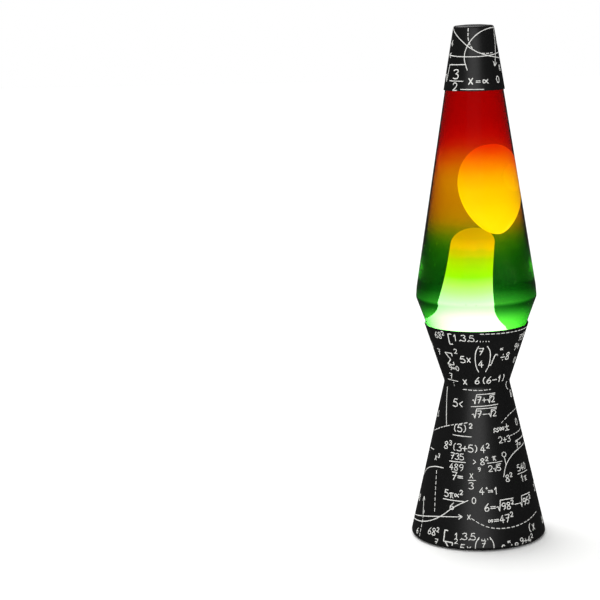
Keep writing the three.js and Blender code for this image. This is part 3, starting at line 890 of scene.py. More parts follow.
SCREW_PLACES = ring_places(3, 43.4, -90)
RIVET_PLACES = (-27, 27)  # X, in mm
FOOT_PLACES = ring_places(4, 41.5, 45)
CONE_SLOPE = 0.22787  # how much the lower cone's radius shrinks per mm of height


def outlet_placed(surface):
    """A surface made along Z, tipped to stand square on the lower cone's back, where the outlet is."""
    height = 17.0
    radius = CONE_FOOT[0] - CONE_SLOPE * (height - CONE_FOOT[1])
    tilt = tilt_about_x(-90 + math.degrees(math.atan(CONE_SLOPE)))
    return moved(surface, (0, radius, height), tilt)


# Strokes of each mark on a grid 6 wide and 9 high: a point is two digits, a doubled point is a sharp
# corner, and a slash lifts the pen.
PEN = {
    "0": "39 18 05 11 30 51 65 58 39",
    "1": "16 39 39 30",
    "2": "07 19 49 67 54 00 00 60",
    "3": "08 29 59 67 35 35 64 61 30 01",
    "4": "49 49 03 03 63 / 46 40",
    "5": "59 19 19 05 05 36 64 61 30 01",
    "6": "59 26 03 10 40 62 45 13",
    "7": "09 09 69 69 20 / 15 55",
    "8": "35 07 29 49 67 35 02 10 50 62 35",
    "9": "66 34 06 29 59 66 52 30",
    "+": "04 64 / 31 37",
    "-": "04 64",
    "×": "11 57 / 17 51",
    "÷": "04 64 / 37 38 / 30 31",
    "=": "03 63 / 05 65",
    "<": "57 14 14 51",
    ">": "17 54 54 11",
    "±": "05 65 / 32 38 / 01 61",
    "≈": "04 16 35 54 66 / 01 13 32 51 63",
    "∑": "67 69 69 09 09 44 44 00 00 60 60 62",
    "∫": "68 59 48 35 21 10 01",
    "∞": "34 16 04 12 34 56 64 52 34",
    "π": "05 16 66 / 26 20 / 46 41 60",
    "∝": "66 33 12 04 16 35 62",
    "∆": "00 00 39 39 60 60 00",
    "(": "59 37 32 50",
    ")": "19 37 32 10",
    "[": "59 29 29 20 20 50",
    "]": "19 49 49 40 40 10",
    ".": "30 31",
    ",": "32 31 10",
    ":": "31 32 / 36 37",
    "°": "29 18 27 38 29",
    "|": "39 30",
}


def softened(points, rounds=2):
    """Corner cutting: a round keeps both ends and the points a quarter and three quarters along each side."""
    points = np.asarray(points, float)
    for _ in range(rounds):
        a, b = points[:-1], points[1:]
        middle = np.stack([0.75 * a + 0.25 * b, 0.25 * a + 0.75 * b], 1).reshape(-1, 2)
        points = np.concatenate([points[:1], middle, points[-1:]])
    return points


def group_at(text, i):
    """The mark or braced group that starts at i, and the place after it."""
    if text[i] != "{":
        return text[i], i + 1
    depth, end = 0, i
    while True:
        depth += {"{": 1, "}": -1}.get(text[end], 0)
        if depth == 0:
            return text[i + 1 : end], end + 1
        end += 1


def shifted(strokes, x, y):
    """Strokes moved in the plane of the writing."""
    return [stroke + [x, y] for stroke in strokes]


def written(text, size):
    """A line of marks as strokes in millimetres from its left end, and its width.

    ^ raises and _ lowers the next mark or {group}; √ covers it; ~ sets one group over another.
    """
    strokes, x, i = [], 0.0, 0
    while i < len(text):
        mark, i = text[i], i + 1
        if mark in "^_":
            group, i = group_at(text, i)
            inner, width = written(group, size * 0.62)
            strokes += shifted(inner, x, size * (0.62 if mark == "^" else -0.28))
            x += width
        elif mark == "√":
            group, i = group_at(text, i)
            inner, width = written(group, size * 0.9)
            top = max(stroke[:, 1].max() for stroke in inner) + 0.22 * size
            hook = [(x, 0.42 * size), (x + 0.2 * size, 0.5 * size), (x + 0.38 * size, -0.12 * size)]
            strokes.append(np.array(hook + [(x + 0.62 * size, top), (x + 0.7 * size + width, top)]))
            strokes += shifted(inner, x + 0.72 * size, 0)
            x += 0.82 * size + width
        elif mark == "~":
            over, i = group_at(text, i)
            under, i = group_at(text, i)
            over, over_width = written(over, size)
            under, under_width = written(under, size)
            width = max(over_width, under_width) + 0.3 * size
            lift = 0.35 * size - min(stroke[:, 1].min() for stroke in over)
            drop = -0.35 * size - max(stroke[:, 1].max() for stroke in under)
            strokes += shifted(over, x + (width - over_width) / 2, 0.45 * size + lift)
            strokes += shifted(under, x + (width - under_width) / 2, 0.45 * size + drop)
            strokes.append(np.array([(x, 0.42 * size), (x + width, 0.48 * size)]))
            x += width + 0.1 * size
        elif mark == " ":
            x += 0.5 * size
        else:
            unit = size / 9
            for stroke in PEN[mark].split("/"):
                grid = [(int(point[0]) * unit, int(point[1]) * unit) for point in stroke.split()]
                strokes.append(softened(grid) + [x, 0])
            x += size * (0.45 if mark in ".,:°|" else 0.86)
    return strokes, x


PEN_STEP = 0.9  # mm between the points of a written stroke
LINE_WEIGHT = 0.85  # of a drawn line against a written stroke


class Pen:
    """Collects strokes on a turned surface as (angle in radians to the right of the front, height) points."""

    def __init__(self, radius_at, seed, lowest):
        self.radius_at = radius_at
        self.lowest = lowest
        self.wander = np.random.default_rng(seed)
        self.strokes = []

    def add(self, points, weight):
        """Keeps a stroke's part above the lowest printable height, with how heavy it is."""
        points = points[points[:, 1] > self.lowest]
        if len(points) > 1:
            self.strokes.append((points, weight))

    def write(self, text, angle, height, size):
        """Marks centred on an angle in degrees, with their foot at a height, each line a little off level."""
        strokes, width = written(text, size)
        lean = self.wander.uniform(-0.035, 0.035)
        for stroke in strokes:
            stroke = evened(stroke, PEN_STEP)
            u, v = stroke[:, 0] - width / 2, stroke[:, 1]
            radius = self.radius_at(height + size / 2)
            shake = self.wander.normal(0, 0.035 * size / 5, stroke.shape)
            points = np.stack(
                [math.radians(angle) + (u + shake[:, 0]) / radius, height + v + lean * u + shake[:, 1]], 1
            )
            self.add(points, min(1.1, max(0.7, size / 6)))

    def line(self, points, dash=0.0, gap=0.0, head=False):
        """A smooth line through (angle in degrees, height) points, whole or dashed, or with an arrowhead."""
        points = softened(points, 3)
        middle = self.radius_at(points[:, 1].mean())
        flat = np.stack([np.radians(points[:, 0]) * middle, points[:, 1]], 1)
        along = np.concatenate([[0], np.cumsum(np.linalg.norm(np.diff(flat, axis=0), axis=1))])
        pieces = [(0, along[-1])]
        if dash:
            pieces = [(a, min(a + dash, along[-1])) for a in np.arange(0, along[-1] - dash / 3, dash + gap)]
        for a, b in pieces:
            at = np.linspace(a, b, max(2, int((b - a) / 1.4)))
            angle, height = np.interp(at, along, flat[:, 0]) / middle, np.interp(at, along, flat[:, 1])
            self.add(np.stack([angle, height], 1), LINE_WEIGHT)
        if head:
            tip, ahead = flat[-1], flat[-1] - flat[-2]
            ahead /= np.linalg.norm(ahead)
            for side in (-1, 1):
                barb = tip - 2.8 * ahead + side * 1.7 * np.array([-ahead[1], ahead[0]])
                self.add(evened([barb, tip], PEN_STEP) / [middle, 1], LINE_WEIGHT)

    def ring(self, angle, height, radius, start=0, end=360, dash=0.0, gap=0.0):
        """Part of a circle on the surface, its radius in millimetres and its ends in degrees."""
        turn = np.radians(np.linspace(start, end, 40))
        middle = self.radius_at(height)
        points = np.stack(
            [angle + np.degrees(radius * np.cos(turn) / middle), height + radius * np.sin(turn)], 1
        )
        self.line(points, dash, gap)

    def surface(self, width, ink, repeats):
        """Every stroke as a flat ribbon that hugs the surface.

        A ribbon's section is four points: two edges just under the paint, and two narrower ones on top of
        it. Its rails lie half a width each side of the stroke, square to it in the surface.
        """
        ribbons = []
        for stroke, weight in self.strokes:
            stroke = stroke[np.concatenate([[True], np.linalg.norm(np.diff(stroke, axis=0), axis=1) > 1e-9])]
            if len(stroke) < 2:
                continue
            radius = self.radius_at(stroke[:, 1])
            flat = np.gradient(stroke, axis=0) * np.stack([radius, np.ones_like(radius)], 1)
            flat /= np.linalg.norm(flat, axis=1, keepdims=True) + 1e-12
            across = np.stack([-flat[:, 1], flat[:, 0]], 1)
            full = weight * width
            half = full / 2 * self.wander.uniform(0.9, 1.1)
            half = half * (1 + 0.1 * self.wander.normal(size=len(stroke)))
            half = np.clip(half, full * 0.38, full * 0.62)
            ends = np.array([stroke[0] - flat[0] * [1 / radius[0], 1] * width * 0.35,
                             stroke[-1] + flat[-1] * [1 / radius[-1], 1] * width * 0.35])
            path = np.concatenate([ends[:1], stroke, ends[1:]])
            half = np.concatenate([[width * 0.2], half, [width * 0.2]])
            across = np.concatenate([across[:1], across, across[-1:]])
            radius = self.radius_at(path[:, 1])
            rails = []
            for side, lift in ((-1.0, -0.08), (-0.8, ink), (0.8, ink), (1.0, -0.08)):
                angle = path[:, 0] + side * half * across[:, 0] / radius
                height = path[:, 1] + side * half * across[:, 1]
                reach = self.radius_at(height) + lift
                rails.append(np.stack([reach * np.sin(angle), -reach * np.cos(angle), height], 1))
            rings = with_ends(np.stack(rails, 1))
            ribbons.append((rings.reshape(-1, 3), grid_faces(len(rings), 4, closed_columns=True)))
        one = joined(ribbons)
        return joined([moved(one, tilt=tilt_about_z(360 * i / repeats)) for i in range(repeats)])


# The base's writing: (marks, degrees to the right of the front, height of their foot, size in mm).
BASE_WRITING = (
    ("68^2", -47, 162.5, 5), ("[", -31, 159, 8.4), ("1,3,5,....", -6, 162, 5), ("73^2", 68, 158.5, 4.6),
    ("7", -57, 148, 4.6), ("∑", -38, 141.5, 9.6), ("2", -27, 151.5, 3.6), ("9=0", -35, 136.8, 3.8),
    ("5×", -14, 144, 5.4), ("7", 6.5, 151, 5.4), ("4", 6.5, 140.6, 5.4), ("∫", 24, 141.5, 9.4),
    ("∝", 33, 153, 3.4), ("÷8", 42, 145, 5.6), ("9+", 62, 151.5, 5.2), ("0", 68, 140, 4.6),
    ("∆", -76, 152, 4.6), ("7", -44, 129.4, 4.2), (":", -44, 123, 4.2), ("×", -19, 125, 6),
    ("6(6-1)", 26, 126.6, 5.4), ("(", 62, 119, 6), ("5<", -30, 107.8, 5.8),
    ("~{√{7+√{2}}}{√{7-√{2}}}", 13, 107, 5.2), ("8", 74, 112, 5.2), ("(5)^2", -21, 89.4, 5.4),
    ("≈∞±", 36, 88.4, 6), ("0", 70, 90, 5.4), ("2+3", 38, 80.4, 4.6), ("5", -76, 96, 4.4),
    ("8^3(3+5)4^2", -15, 74.8, 5.4), ("7=", 62, 74, 4.8), ("~{735}{489}", -24, 64.6, 4.7),
    (">", -3, 65.4, 4.6), ("8^2", 8, 65.4, 4.6), ("~{π}{2√{5}}", 20.5, 64.6, 4.4), ("7=", -22, 53, 5.8),
    ("~{×}{3}", -6, 51.4, 4.9), ("9", 2, 60.4, 3), ("8^2", 36, 51, 5), ("~{540}{1π}", 59, 52.5, 4.9),
    ("×^3", -55, 64, 4.8), ("~{5π∝^2}{6}", -25, 35.2, 5.2), ("4°=1", 12, 43, 5.2),
    ("6=√{98^2}-√{95^2}", 35, 30.6, 5.6), ("0", -3.5, 36.2, 4.6), ("×", -8, 23.8, 5),
    ("∞=47^2", 22, 21, 5.4), ("68^2", -43, 8.6, 5.2), ("[", -29, 6, 8.4), ("1,3,5,....", -5, 9, 5),
    ("(×", 55, 9.4, 6.4), ("∑", -25, -3.6, 9.6), ("7", -38, 1.8, 4.6), ("2", -19, 5.6, 3.6),
    ("5×", -10, -0.4, 5.6), ("7", 5, 3.8, 4.8), ("∝", 27, 4.8, 3.2), ("∫", 20, -4.4, 9),
    ("÷8", 32, -0.6, 5.2), ("9+4^2", 46, 2.2, 4.8), ("±8", -82, 28, 5), ("2^9", 82, 36, 5),
    ("∆=", 84, 10, 5), ("6", -66, 4.8, 4.6),
)
# The base's lines: (points as degrees and height, dash, gap, arrowhead).
BASE_LINES = (
    (((4, 168.2), (40, 167.6), (78, 167.6)), 2.6, 1.7, False),
    (((2.5, 158), (-2, 153), (-2, 142), (2.5, 136.6)), 0, 0, False),
    (((13, 158), (18, 153), (18, 142), (13, 136.6)), 0, 0, False),
    (((-56, 128), (-33, 127.6)), 0, 0, False),
    (((-24, 121.6), (4, 121.0), (24, 121.5)), 2.6, 1.5, False),
    (((-62, 121), (-54, 106), (-47, 92)), 0, 0, False),
    (((-78, 85), (-45, 93), (-12, 97)), 2.2, 1.8, False),
    (((36, 95.5), (54, 101), (80, 102)), 2.2, 1.8, False),
    (((-34, 86.6), (-8, 86.2)), 0, 0, False),
    (((48, 84.5), (84, 86)), 2.2, 1.6, False),
    (((-78, 71), (-66, 71.4)), 0, 0, False),
    (((56, 79.4), (84, 80)), 0, 0, False),
    (((33, 69.4), (34, 63.6)), 0, 0, False),
    (((29, 55), (34, 65), (50, 72.5), (80, 74.5)), 0, 0, False),
    (((-88, 47), (-74, 55.6), (-56, 60), (-42, 60.4)), 0, 0, False),
    (((-52, 57), (-48, 40), (-45, 25)), 2.2, 1.9, False),
    (((-62, 21), (-67, 34)), 0, 0, True),
    (((-86, 12), (-56, 16), (-38, 23), (-24, 33), (-10, 38.4)), 0, 0, False),
    (((-86, 15), (-60, 20), (-38, 24), (-15, 26)), 0, 0, True),
    (((-61, 24), (-61, 3.4)), 2.0, 1.6, False),
    (((-6, 25), (6, 19), (20, 16.5), (42, 17), (70, 22)), 2.4, 1.8, False),
    (((0.5, 11), (-2.4, 7), (-2.6, 3.0)), 0, 0, False),
    (((10, 11), (13, 7), (13, 3.0)), 0, 0, False),
)
# The base's circles: (degrees, height, radius in mm, first and last end in degrees, dash, gap).
BASE_RINGS = (
    (33, 71.6, 1.9, 0, 360, 0, 0),
    (-64, 48.5, 0.5, 0, 360, 0, 0),
    (-63, 44, 0.5, 0, 360, 0, 0),
)


def draw(pen, writing, lines, rings):
    """Writes, then draws the lines and circles."""
    for text, angle, height, size in writing:
        pen.write(text, angle, height, size)
    for points, dash, gap, head in lines:
        pen.line(points, dash, gap, head)
    for angle, height, radius, start, end, dash, gap in rings:
        pen.ring(angle, height, radius, start, end, dash, gap)


def build_base_print(sizes, colours):
    """Made-up sums and curves in white ink, drawn once over half the base and repeated on the other half."""
    outer = base_outside(sizes)
    outer = outer[np.argmin(outer[:, 1]) :]
    pen = Pen(lambda z: np.interp(z, outer[:, 1], outer[:, 0]), seed=7, lowest=2.6)
    draw(pen, BASE_WRITING, BASE_LINES, BASE_RINGS)
    surface = pen.surface(sizes.stroke / MM, sizes.ink / MM, 2)
    piece("base_print", surface, [screen_ink(colours)], "base", crease=60)


# ---- Underside -----------------------------------------------------------------------------------


def build_grommet(colours):
    """The bush in the base's outlet: a closed profile with a groove for the sheet, turned and tipped."""
    bush = rounded([
        (3.8, -3.4, 0.4), (7, -3.4, 0.6), (7.2, -1.7), (5.4, -1.7), (5.4, 0.3), (7.6, 0.3, 0.3),
        (7.2, 1.3, 0.7), (5.6, 1.5, 0.3), (3.8, 1.5, 0.5),
    ], closed=True)
    surface = outlet_placed(turned(bush, 96, closed=True))
    piece("outlet_grommet", surface, [moulded_rubber(colours)], "base", ["cord_grommet"])


def build_plate():
    """The bottom plate: a turned disc with a ring-shaped rib, its slots and holes cut out of it."""
    # Black plastic from a spark-eroded mould: an even fine stipple and no gloss.
    mould = solid_finish("moulded_black_plastic", linear("#1f1f20"), 0.5, grain_mm=0.9, bump_mm=0.02)
    disc = rounded([(0, 1.5), (47.3, 1.5, 0.4), (47.3, 3.4, 0.3), (0, 3.4)])
    rib = rounded([(33.2, 1.5), (33.4, 1.15, 0.2), (34.4, 1.15, 0.2), (34.6, 1.5)])
    disc = np.concatenate([[disc[0]], rib, disc[1:]])
    plate = piece("base_plate", turned(disc, 192), [mould], "base", ["bottom_plate"])
    angle = np.radians(np.linspace(-90, 90, 13))
    end = np.stack([31 + 1.6 * np.cos(angle), 1.6 * np.sin(angle)], 1)
    slot = np.concatenate([end, [50, 0] - end])
    tools = [moved(prism(slot, 0, 5, 0.01), tilt=tilt_about_z(22.5 + 45 * i)) for i in range(8)]
    tools.append(rod(6, 0, 5, 64))
    tools += [moved(rod(1.9, 0, 5), (x, 0, 0)) for x in RIVET_PLACES]
    sink = turned([(0, 0), (3.4, 0), (3.4, 1.5), (1.8, 3.1), (1.8, 5), (0, 5)], 40)
    tools += [moved(sink, (*place, 0)) for place in SCREW_PLACES]
    cut(plate, tools)


def build_feet(colours):
    """Four turned rubber feet, each with a dimple in its sole."""
    foot = rounded([(0, 0), (4.1, 0, 0.6), (4.5, 0.9, 0.5), (4.5, 1.5), (0, 1.5)])
    dimple = turned([(0, 0), (2.6, -0.1), (2.6, 0.18), (0, 0.25)], 40)
    for i, place in enumerate(FOOT_PLACES, 1):
        surface = moved(turned(foot, 48), (*place, 0))
        rubber = moulded_rubber(colours)
        foot_piece = piece(f"foot_{i}", surface, [rubber], "base", [f"rubber_foot_{i}"])
        cut(foot_piece, [moved(dimple, (*place, 0))])


def build_screws():
    """Three countersunk screws: r = profile + 0.26 max(0, cos(2 pi z / 1.1 - angle)) along the thread."""
    screw = rounded([(0, 1.5), (2.8, 1.5, 0.15), (2.95, 1.62), (1.45, 3.1), (1.2, 3.6), (1.2, 8), (0, 9.5)])

    def thread(turn, radius, height):
        rise = np.clip((height - 3.4) * 2, 0, 1) * np.clip((9.0 - height) * 2, 0, 1) * (radius > 0.2)
        return 0.26 * rise * np.clip(np.cos(TURN * height / 1.1 - turn), 0, 1)

    bars = ((3.0, 0.62, 1.7), (0.62, 3.0, 1.7))
    cross = [rounded_box((0, 0, 1.9), size, 0.2, 10) for size in bars]
    for i, (place, turn) in enumerate(zip(SCREW_PLACES, (12, 71, 40)), 1):
        surface = moved(turned(evened(screw, 0.12), 32, swell=thread), (*place, 0))
        screw_piece = piece(f"screw_{i}", surface, [bright_zinc()], "base", [f"plate_screw_{i}"])
        for cross_bar in cross:  # one at a time, because the two bars overlap
            cut(screw_piece, [moved(cross_bar, (*place, 0), tilt_about_z(turn))])


# ---- Lamp holder ---------------------------------------------------------------------------------


def bent_strip(line, thickness, width, bend, ends=1.0):
    """A sheet strip: a middle line in X and Z with rounded bends, thickened and carried across Y.

    The section across Y is a thin box with its corners taken off.
    """
    path = evened(rounded([(*point, bend) for point in line]), 1.5)
    half, edge = width / 2, min(0.15, thickness / 3)
    t = thickness / 2
    section = [(-half + edge, -t), (half - edge, -t), (half, -t + edge), (half, t - edge), (half - edge, t),
               (-half + edge, t), (-half, t - edge), (-half, -t + edge)]
    step = np.gradient(path, axis=0)
    step /= np.linalg.norm(step, axis=1, keepdims=True)
    out = np.stack([-step[:, 1], step[:, 0]], 1)
    section = np.array(section)
    taper = np.interp(np.arange(len(path)), [0, len(path) - 1], [1, ends])
    x = path[:, 0, None] + out[:, 0, None] * section[None, :, 1]
    z = path[:, 1, None] + out[:, 1, None] * section[None, :, 1]
    y = section[None, :, 0] * taper[:, None]
    rings = np.stack([x, y, z], -1)
    rings = with_ends(rings)
    return rings.reshape(-1, 3), grid_faces(len(rings), len(section), closed_columns=True)


THREAD_FACETS = 72


def rolled_thread(mean, low, high, lead):
    """A rolled thread's profile, and the wave that its turning adds to the radius.

    The sheet is 0.4 mm thick, and r = mean + 0.4 (fade cos(2 pi z / pitch - angle) + lead (1 - fade)), where
    fade rises from 0 to 1 over the first half turn and falls back over the last.
    """
    pitch, wall = 2.822, 0.4
    height = np.linspace(low, high, int((high - low) / 0.2))
    profile = np.concatenate([
        np.stack([np.full_like(height, mean + wall / 2), height], 1),
        np.stack([np.full_like(height, mean - wall / 2), height], 1)[::-1],
    ])

    def wave(turn, radius, z):
        fade = np.clip(np.minimum(z - low, high - z) / (pitch / 2), 0, 1)
        return 0.4 * (fade * np.cos(TURN * z / pitch - turn) + lead * (1 - fade))

    return profile, wave


def build_bracket():
    """The bent strip that carries the lamp holder, with its three holes, and its two turned rivets."""
    # Bare pressed steel: grey, with a directionless mottle drawn out along the strip.
    steel = solid_finish(
        "pressed_mild_steel", linear("#8f9296"), 0.38, grain_mm=2.2, stretch=(1, 0.2, 1), Metallic=1.0
    )
    line = [(-34, 4.0), (-19.7, 4.0), (-17.8, 33.8), (17.8, 33.8), (19.7, 4.0), (34, 4.0)]
    bracket = piece("bracket", bent_strip(line, 1.2, 16, 1.6), [steel], "base", ["holder_bracket"])
    cut(bracket, [rod(5.3, 25, 40, 48)] + [moved(rod(1.9, 0, 8), (x, 0, 0)) for x in RIVET_PLACES])

    rivet = rounded([(0, 1.5), (1.55, 1.5, 0.2), (1.55, 4.6), (3, 4.6, 0.2), (2.75, 5.5, 0.6), (0, 6.1)])
    for i, x in enumerate(RIVET_PLACES, 1):
        surface = moved(turned(rivet, 40), (x, 0, 0))
        piece(f"rivet_{i}", surface, [bright_zinc()], "base", [f"bracket_rivet_{i}"])


def build_nipple():
    """The threaded tube, r = profile + 0.2 cos(2 pi z / 1 mm - angle) outside, and its six-sided nut."""

    tube = evened([(4.8, 28), (4.8, 43.5), (3.4, 43.5), (3.4, 28), (4.8, 28)], 0.2)[:-1]

    def fine_thread(turn, radius, height):
        return np.where(radius > 4.5, 0.2 * np.cos(TURN * height - turn), 0)

    surface = turned(tube, 64, closed=True, swell=fine_thread)
    piece("nipple", surface, [bright_zinc()], "base", ["holder_nipple"])

    hexagon = np.array(ring_places(6, 8.1, 0))
    surface = prism(hexagon, 30.4, 33.2, 0.35)
    nut = piece("nut", surface, [bright_zinc()], "base", ["nipple_nut"])
    cut(nut, [rod(5.3, 28, 36, 48)])


def build_holder(colours):
    """The holder's turned body with its holes, the rolled thread in it and its sprung contact."""
    # Heat-resistant moulding: off-white, a little glossy, with a cloudy skin.
    ceramic = solid_finish(
        "heat_resistant_moulding", tuple(colours.holder), 0.45, spread=0.04, grain_mm=1.5, bump_mm=0.012
    )
    body = rounded([
        (0, 36), (10, 36, 0.8), (12.9, 37.6, 1.2), (12.9, 52, 0.6), (11.7, 54, 0.8), (11.6, 74.5, 0.3),
        (12.4, 74.9, 0.3), (12.4, 76.2, 0.3), (12, 76.5, 0.2), (9, 76.5, 0.4), (8.4, 74.9, 0.4),
        (8.4, 51, 0.3), (0, 51),
    ])
    holder = piece("holder", turned(evened(body, 2), 96), [ceramic], "base", ["lamp_holder"])
    tools = [rod(5.3, 30, 44.5, 48)]
    tools += [moved(prism([(-3.5, -3.5), (3.5, -3.5), (3.5, 3.5), (-3.5, 3.5)], 40.5, 49.5, 0.01), (x, 0, 0))
              for x in (-10.9, 10.9)]
    cut(holder, tools)

    profile, wave = rolled_thread(7.55, 61.01, 72.30, 1)
    surface = turned(profile, THREAD_FACETS, closed=True, swell=wave)
    piece("thread_sleeve", surface, [rolled_brass()], "base", ["holder_thread_sleeve"])
    line = [(-6.5, 51.25), (4.5, 51.25), (5.3, 52.1), (2.9, 54.2), (-2.5, 55.3)]
    spring = bent_strip(line, 0.4, 4, 0.5, ends=0.6)
    piece("contact_spring", spring, [rolled_brass()], "base", ["holder_contact_spring"])


def build_terminals():
    """Two soft-edged brass blocks with a wire hole each, and their slotted clamp screws."""
    for i, side in enumerate((-1, 1), 1):
        surface = rounded_box((side * 9.9, 0, 45), (4.4, 6, 8), 0.1, 20)
        block = piece(f"terminal_{i}", surface, [rolled_brass()], "base", [f"terminal_block_{i}"])
        cut(block, [moved(rod(1.1, 35, 46), (side * 9.9, 1.2, 0))])
        head = rounded([(0, 0.05), (1.6, 0.05, 0.15), (1.6, 1.3, 0.35), (0, 1.3)])
        surface = moved(turned(head, 32), (side * 12.1, 0, 45), tilt_about_y(side * 90))
        clamp = piece(f"clamp_screw_{i}", surface, [bright_zinc()], "base", [f"terminal_screw_{i}"])
        cut(clamp, [rounded_box((side * 13.4, 0, 45), (1.0, 0.45, 4), 0.1, 10)])


# ---- Bulb ----------------------------------------------------------------------------------------


def curved(points, spacing):
    """A Catmull-Rom spline through points: each span is a cubic whose ends have their neighbours' slope."""
    points = np.asarray(points, float)
    padded = np.concatenate([points[:1] * 2 - points[1:2], points, points[-1:] * 2 - points[-2:-1]])
    line = []
    for a, b, c, d in zip(padded, padded[1:], padded[2:], padded[3:]):
        t = np.arange(max(1, math.ceil(np.linalg.norm(c - b) / spacing)))[:, None]
        t = t / len(t)
        square, cube = 2 * a - 5 * b + 4 * c - d, 3 * b - a - 3 * c + d
        line.append(0.5 * (2 * b + (c - a) * t + square * t**2 + cube * t**3))
    return np.concatenate(line + [points[-1:]])


FACE_FROM = 114.2  # height in mm from which the envelope is frosted instead of mirrored
COLLAR_LOW = 73.71  # height in mm at which the bulb's thread ends and its collar begins


def build_envelope():
    """Reflector bulb: a thin turned envelope, mirrored up to its widest place and frosted over its face."""
    outer = curved([
        (7.55, 80.1), (7.75, 82.1), (8.3, 86.1), (10.2, 92.1), (13.8, 99.1), (17.2, 105.6), (19.5, 113),
        (19.4, 117.5), (17.6, 121.1), (13.5, 123), (7, 123.8), (0, 124),
    ], 0.9)
    outer[:, 0] = np.clip(outer[:, 0], 0, 19.5)
    outer[:, 1] = np.minimum(outer[:, 1], 124)
    inner = offset_inwards(outer, 0.6)
    inner[-1] = [0, 123.4]
    inner[0] = [6.95, 80.1]
    # Glass with a film of aluminium behind it: a bright metal mirror, barely rippled.
    mirror = solid_finish(
        "aluminised_bulb_glass", linear("#d8d4cc"), 0.16, spread=0.05, grain_mm=6, Metallic=1.0
    )
    face = lit_glass("lit_frosted_glass", linear("#fff1c8"), 3.0, 0.5)
    surface = turned(np.concatenate([outer, inner[::-1]]), 96)
    bulb = piece("bulb_envelope", surface, [mirror, face], "bulb", ["bulb_glass"])
    heights = np.array([polygon.center.z for polygon in bulb.data.polygons]) / MM
    bulb.data.polygons.foreach_set("material_index", (heights > FACE_FROM).astype(np.int32))


def build_bulb_cap():
    """The bulb's rolled thread running into its collar, its insulation and the solder of its contact."""
    profile, wave = rolled_thread(6.55, 59.6, COLLAR_LOW, -1)
    half = len(profile) // 2
    up = [(6.6, 74.6), (7.2, 77), (8.3, 79.6), (8.35, 79.91), (8.35, 81.11)]
    outside = [(r + 0.2, z) for r, z in up]
    inside = [(r - 0.2, z) for r, z in up]
    profile = np.concatenate([profile[:half], outside, inside[::-1], profile[half:]])

    def smooth_lead(turn, radius, z):
        blend = np.clip((z - COLLAR_LOW) / 1.2, 0, 1)
        thread = wave(turn, radius, np.minimum(z, COLLAR_LOW))
        return np.where(z > COLLAR_LOW + 0.01, -0.4 * (1 - blend), thread)

    surface = turned(profile, THREAD_FACETS, closed=True, swell=smooth_lead)
    piece("bulb_screw", surface, [rolled_tinplate()], "bulb", ["bulb_screw_shell"])

    # Glass fused black round the contact: glossy and nearly smooth.
    glaze = solid_finish("fused_black_glass", linear("#141414"), 0.12, grain_mm=1.5, bump_mm=0.006)
    insulator = rounded([(0, 57.5), (2.9, 57.5, 0.4), (5.6, 59.2, 0.6), (5.6, 60.2, 0.2), (0, 60.2)])
    piece("bulb_insulation", turned(insulator, 64), [glaze], "bulb_tip", ["bulb_insulator"])
    # Solder that set as a drop: a dull metal with a pitted skin.
    solder = solid_finish(
        "lead_free_solder", linear("#b9bab6"), 0.35, spread=0.1, grain_mm=0.7, bump_mm=0.03, Metallic=1.0
    )
    contact = curved([(0, 56), (0.9, 56.1), (1.7, 56.4), (2.3, 56.9), (2.4, 57.4)], 0.2)
    surface = turned(np.concatenate([contact, [(0, 57.4)]]), 48)
    piece("bulb_tip_contact", surface, [solder], "bulb_tip", ["bulb_contact"])


def build_bulb_inside():
    """The bulb's glass stem, its two leads and the coiled filament between them."""
    stem = curved([(3.6, 75.7), (3.2, 79.7), (2.6, 87.7), (1.6, 90.5), (0, 90.7)], 0.6)
    piece("bulb_stem_tube", turned(np.concatenate([[(0, 75.7)], stem]), 48), [clear_stem_glass()], "bulb",
          ["bulb_stem"])
    # Drawn wire plated with nickel: a smooth grey metal.
    wire = solid_finish(
        "nickel_plated_wire", linear("#b4b8bb"), 0.3, grain_mm=0.3, bump_mm=0.003, Metallic=1.0
    )
    for i, side in enumerate((-1, 1), 1):
        surface = moved(rod(0.3, 0, 12, 16), (side * 0.9, 0, 91.11), tilt_about_y(math.degrees(side * 0.28)))
        piece(f"lead_{i}", surface, [wire], "bulb", [f"lead_wire_{i}"])
    t = np.linspace(0, 1, 700)
    arch = np.stack([4.2 * (2 * t - 1), -7.0 * t * (1 - t), 103.9 + 2.0 * t * (1 - t)], 1)
    turns = TURN * 55 * t
    coil = arch + 0.36 * np.stack([0 * t, np.cos(turns), np.sin(turns)], 1)
    tungsten = lit_glass("glowing_tungsten", linear("#ffd9a0"), 6.0, 0.5)
    piece("filament_coil", swept(circle(0.07, 6), coil), [tungsten], "bulb", ["filament"])


# ---- Bottle --------------------------------------------------------------------------------------

SEAT_SLOPE = 0.365
SHOULDER = (46.65, 193.5)
UPPER_SLOPE = 0.1569


def seat_radius(height):
    """The bottle's outer radius under its shoulder."""
    return 39.05 + SEAT_SLOPE * (height - 170)


def cone_radius(height):
    """The bottle's outer radius above its shoulder."""
    return SHOULDER[0] - 0.1 - UPPER_SLOPE * (height - SHOULDER[1] - 3)


def bottle_outside():
    """The bottle's outer line from the middle of its hollow foot up to its lip."""
    top = high_mm("glass_bottle")[2]
    return rounded([
        (0, 140.6), (16, 139.6, 8), (22, 138, 3), (25.4, 138.6, 3), (27.6, 140.6, 3),
        (seat_radius(144), 144, 4), (seat_radius(191.2), 191.2, 5.5), (cone_radius(199), 199, 0),
        (cone_radius(351), 351, 6), (20.2, 359, 12), (17.2, 366, 8), (14.4, 370.6, 4), (13.2, 374, 4),
        (13.2, 379, 0.4), (14.2, 380, 0.5), (14.2, 382.5, 0.5), (12.9, 383.6, 0.3), (12.9, top - 1, 0.5),
        (11.8, top, 0.3),
    ])


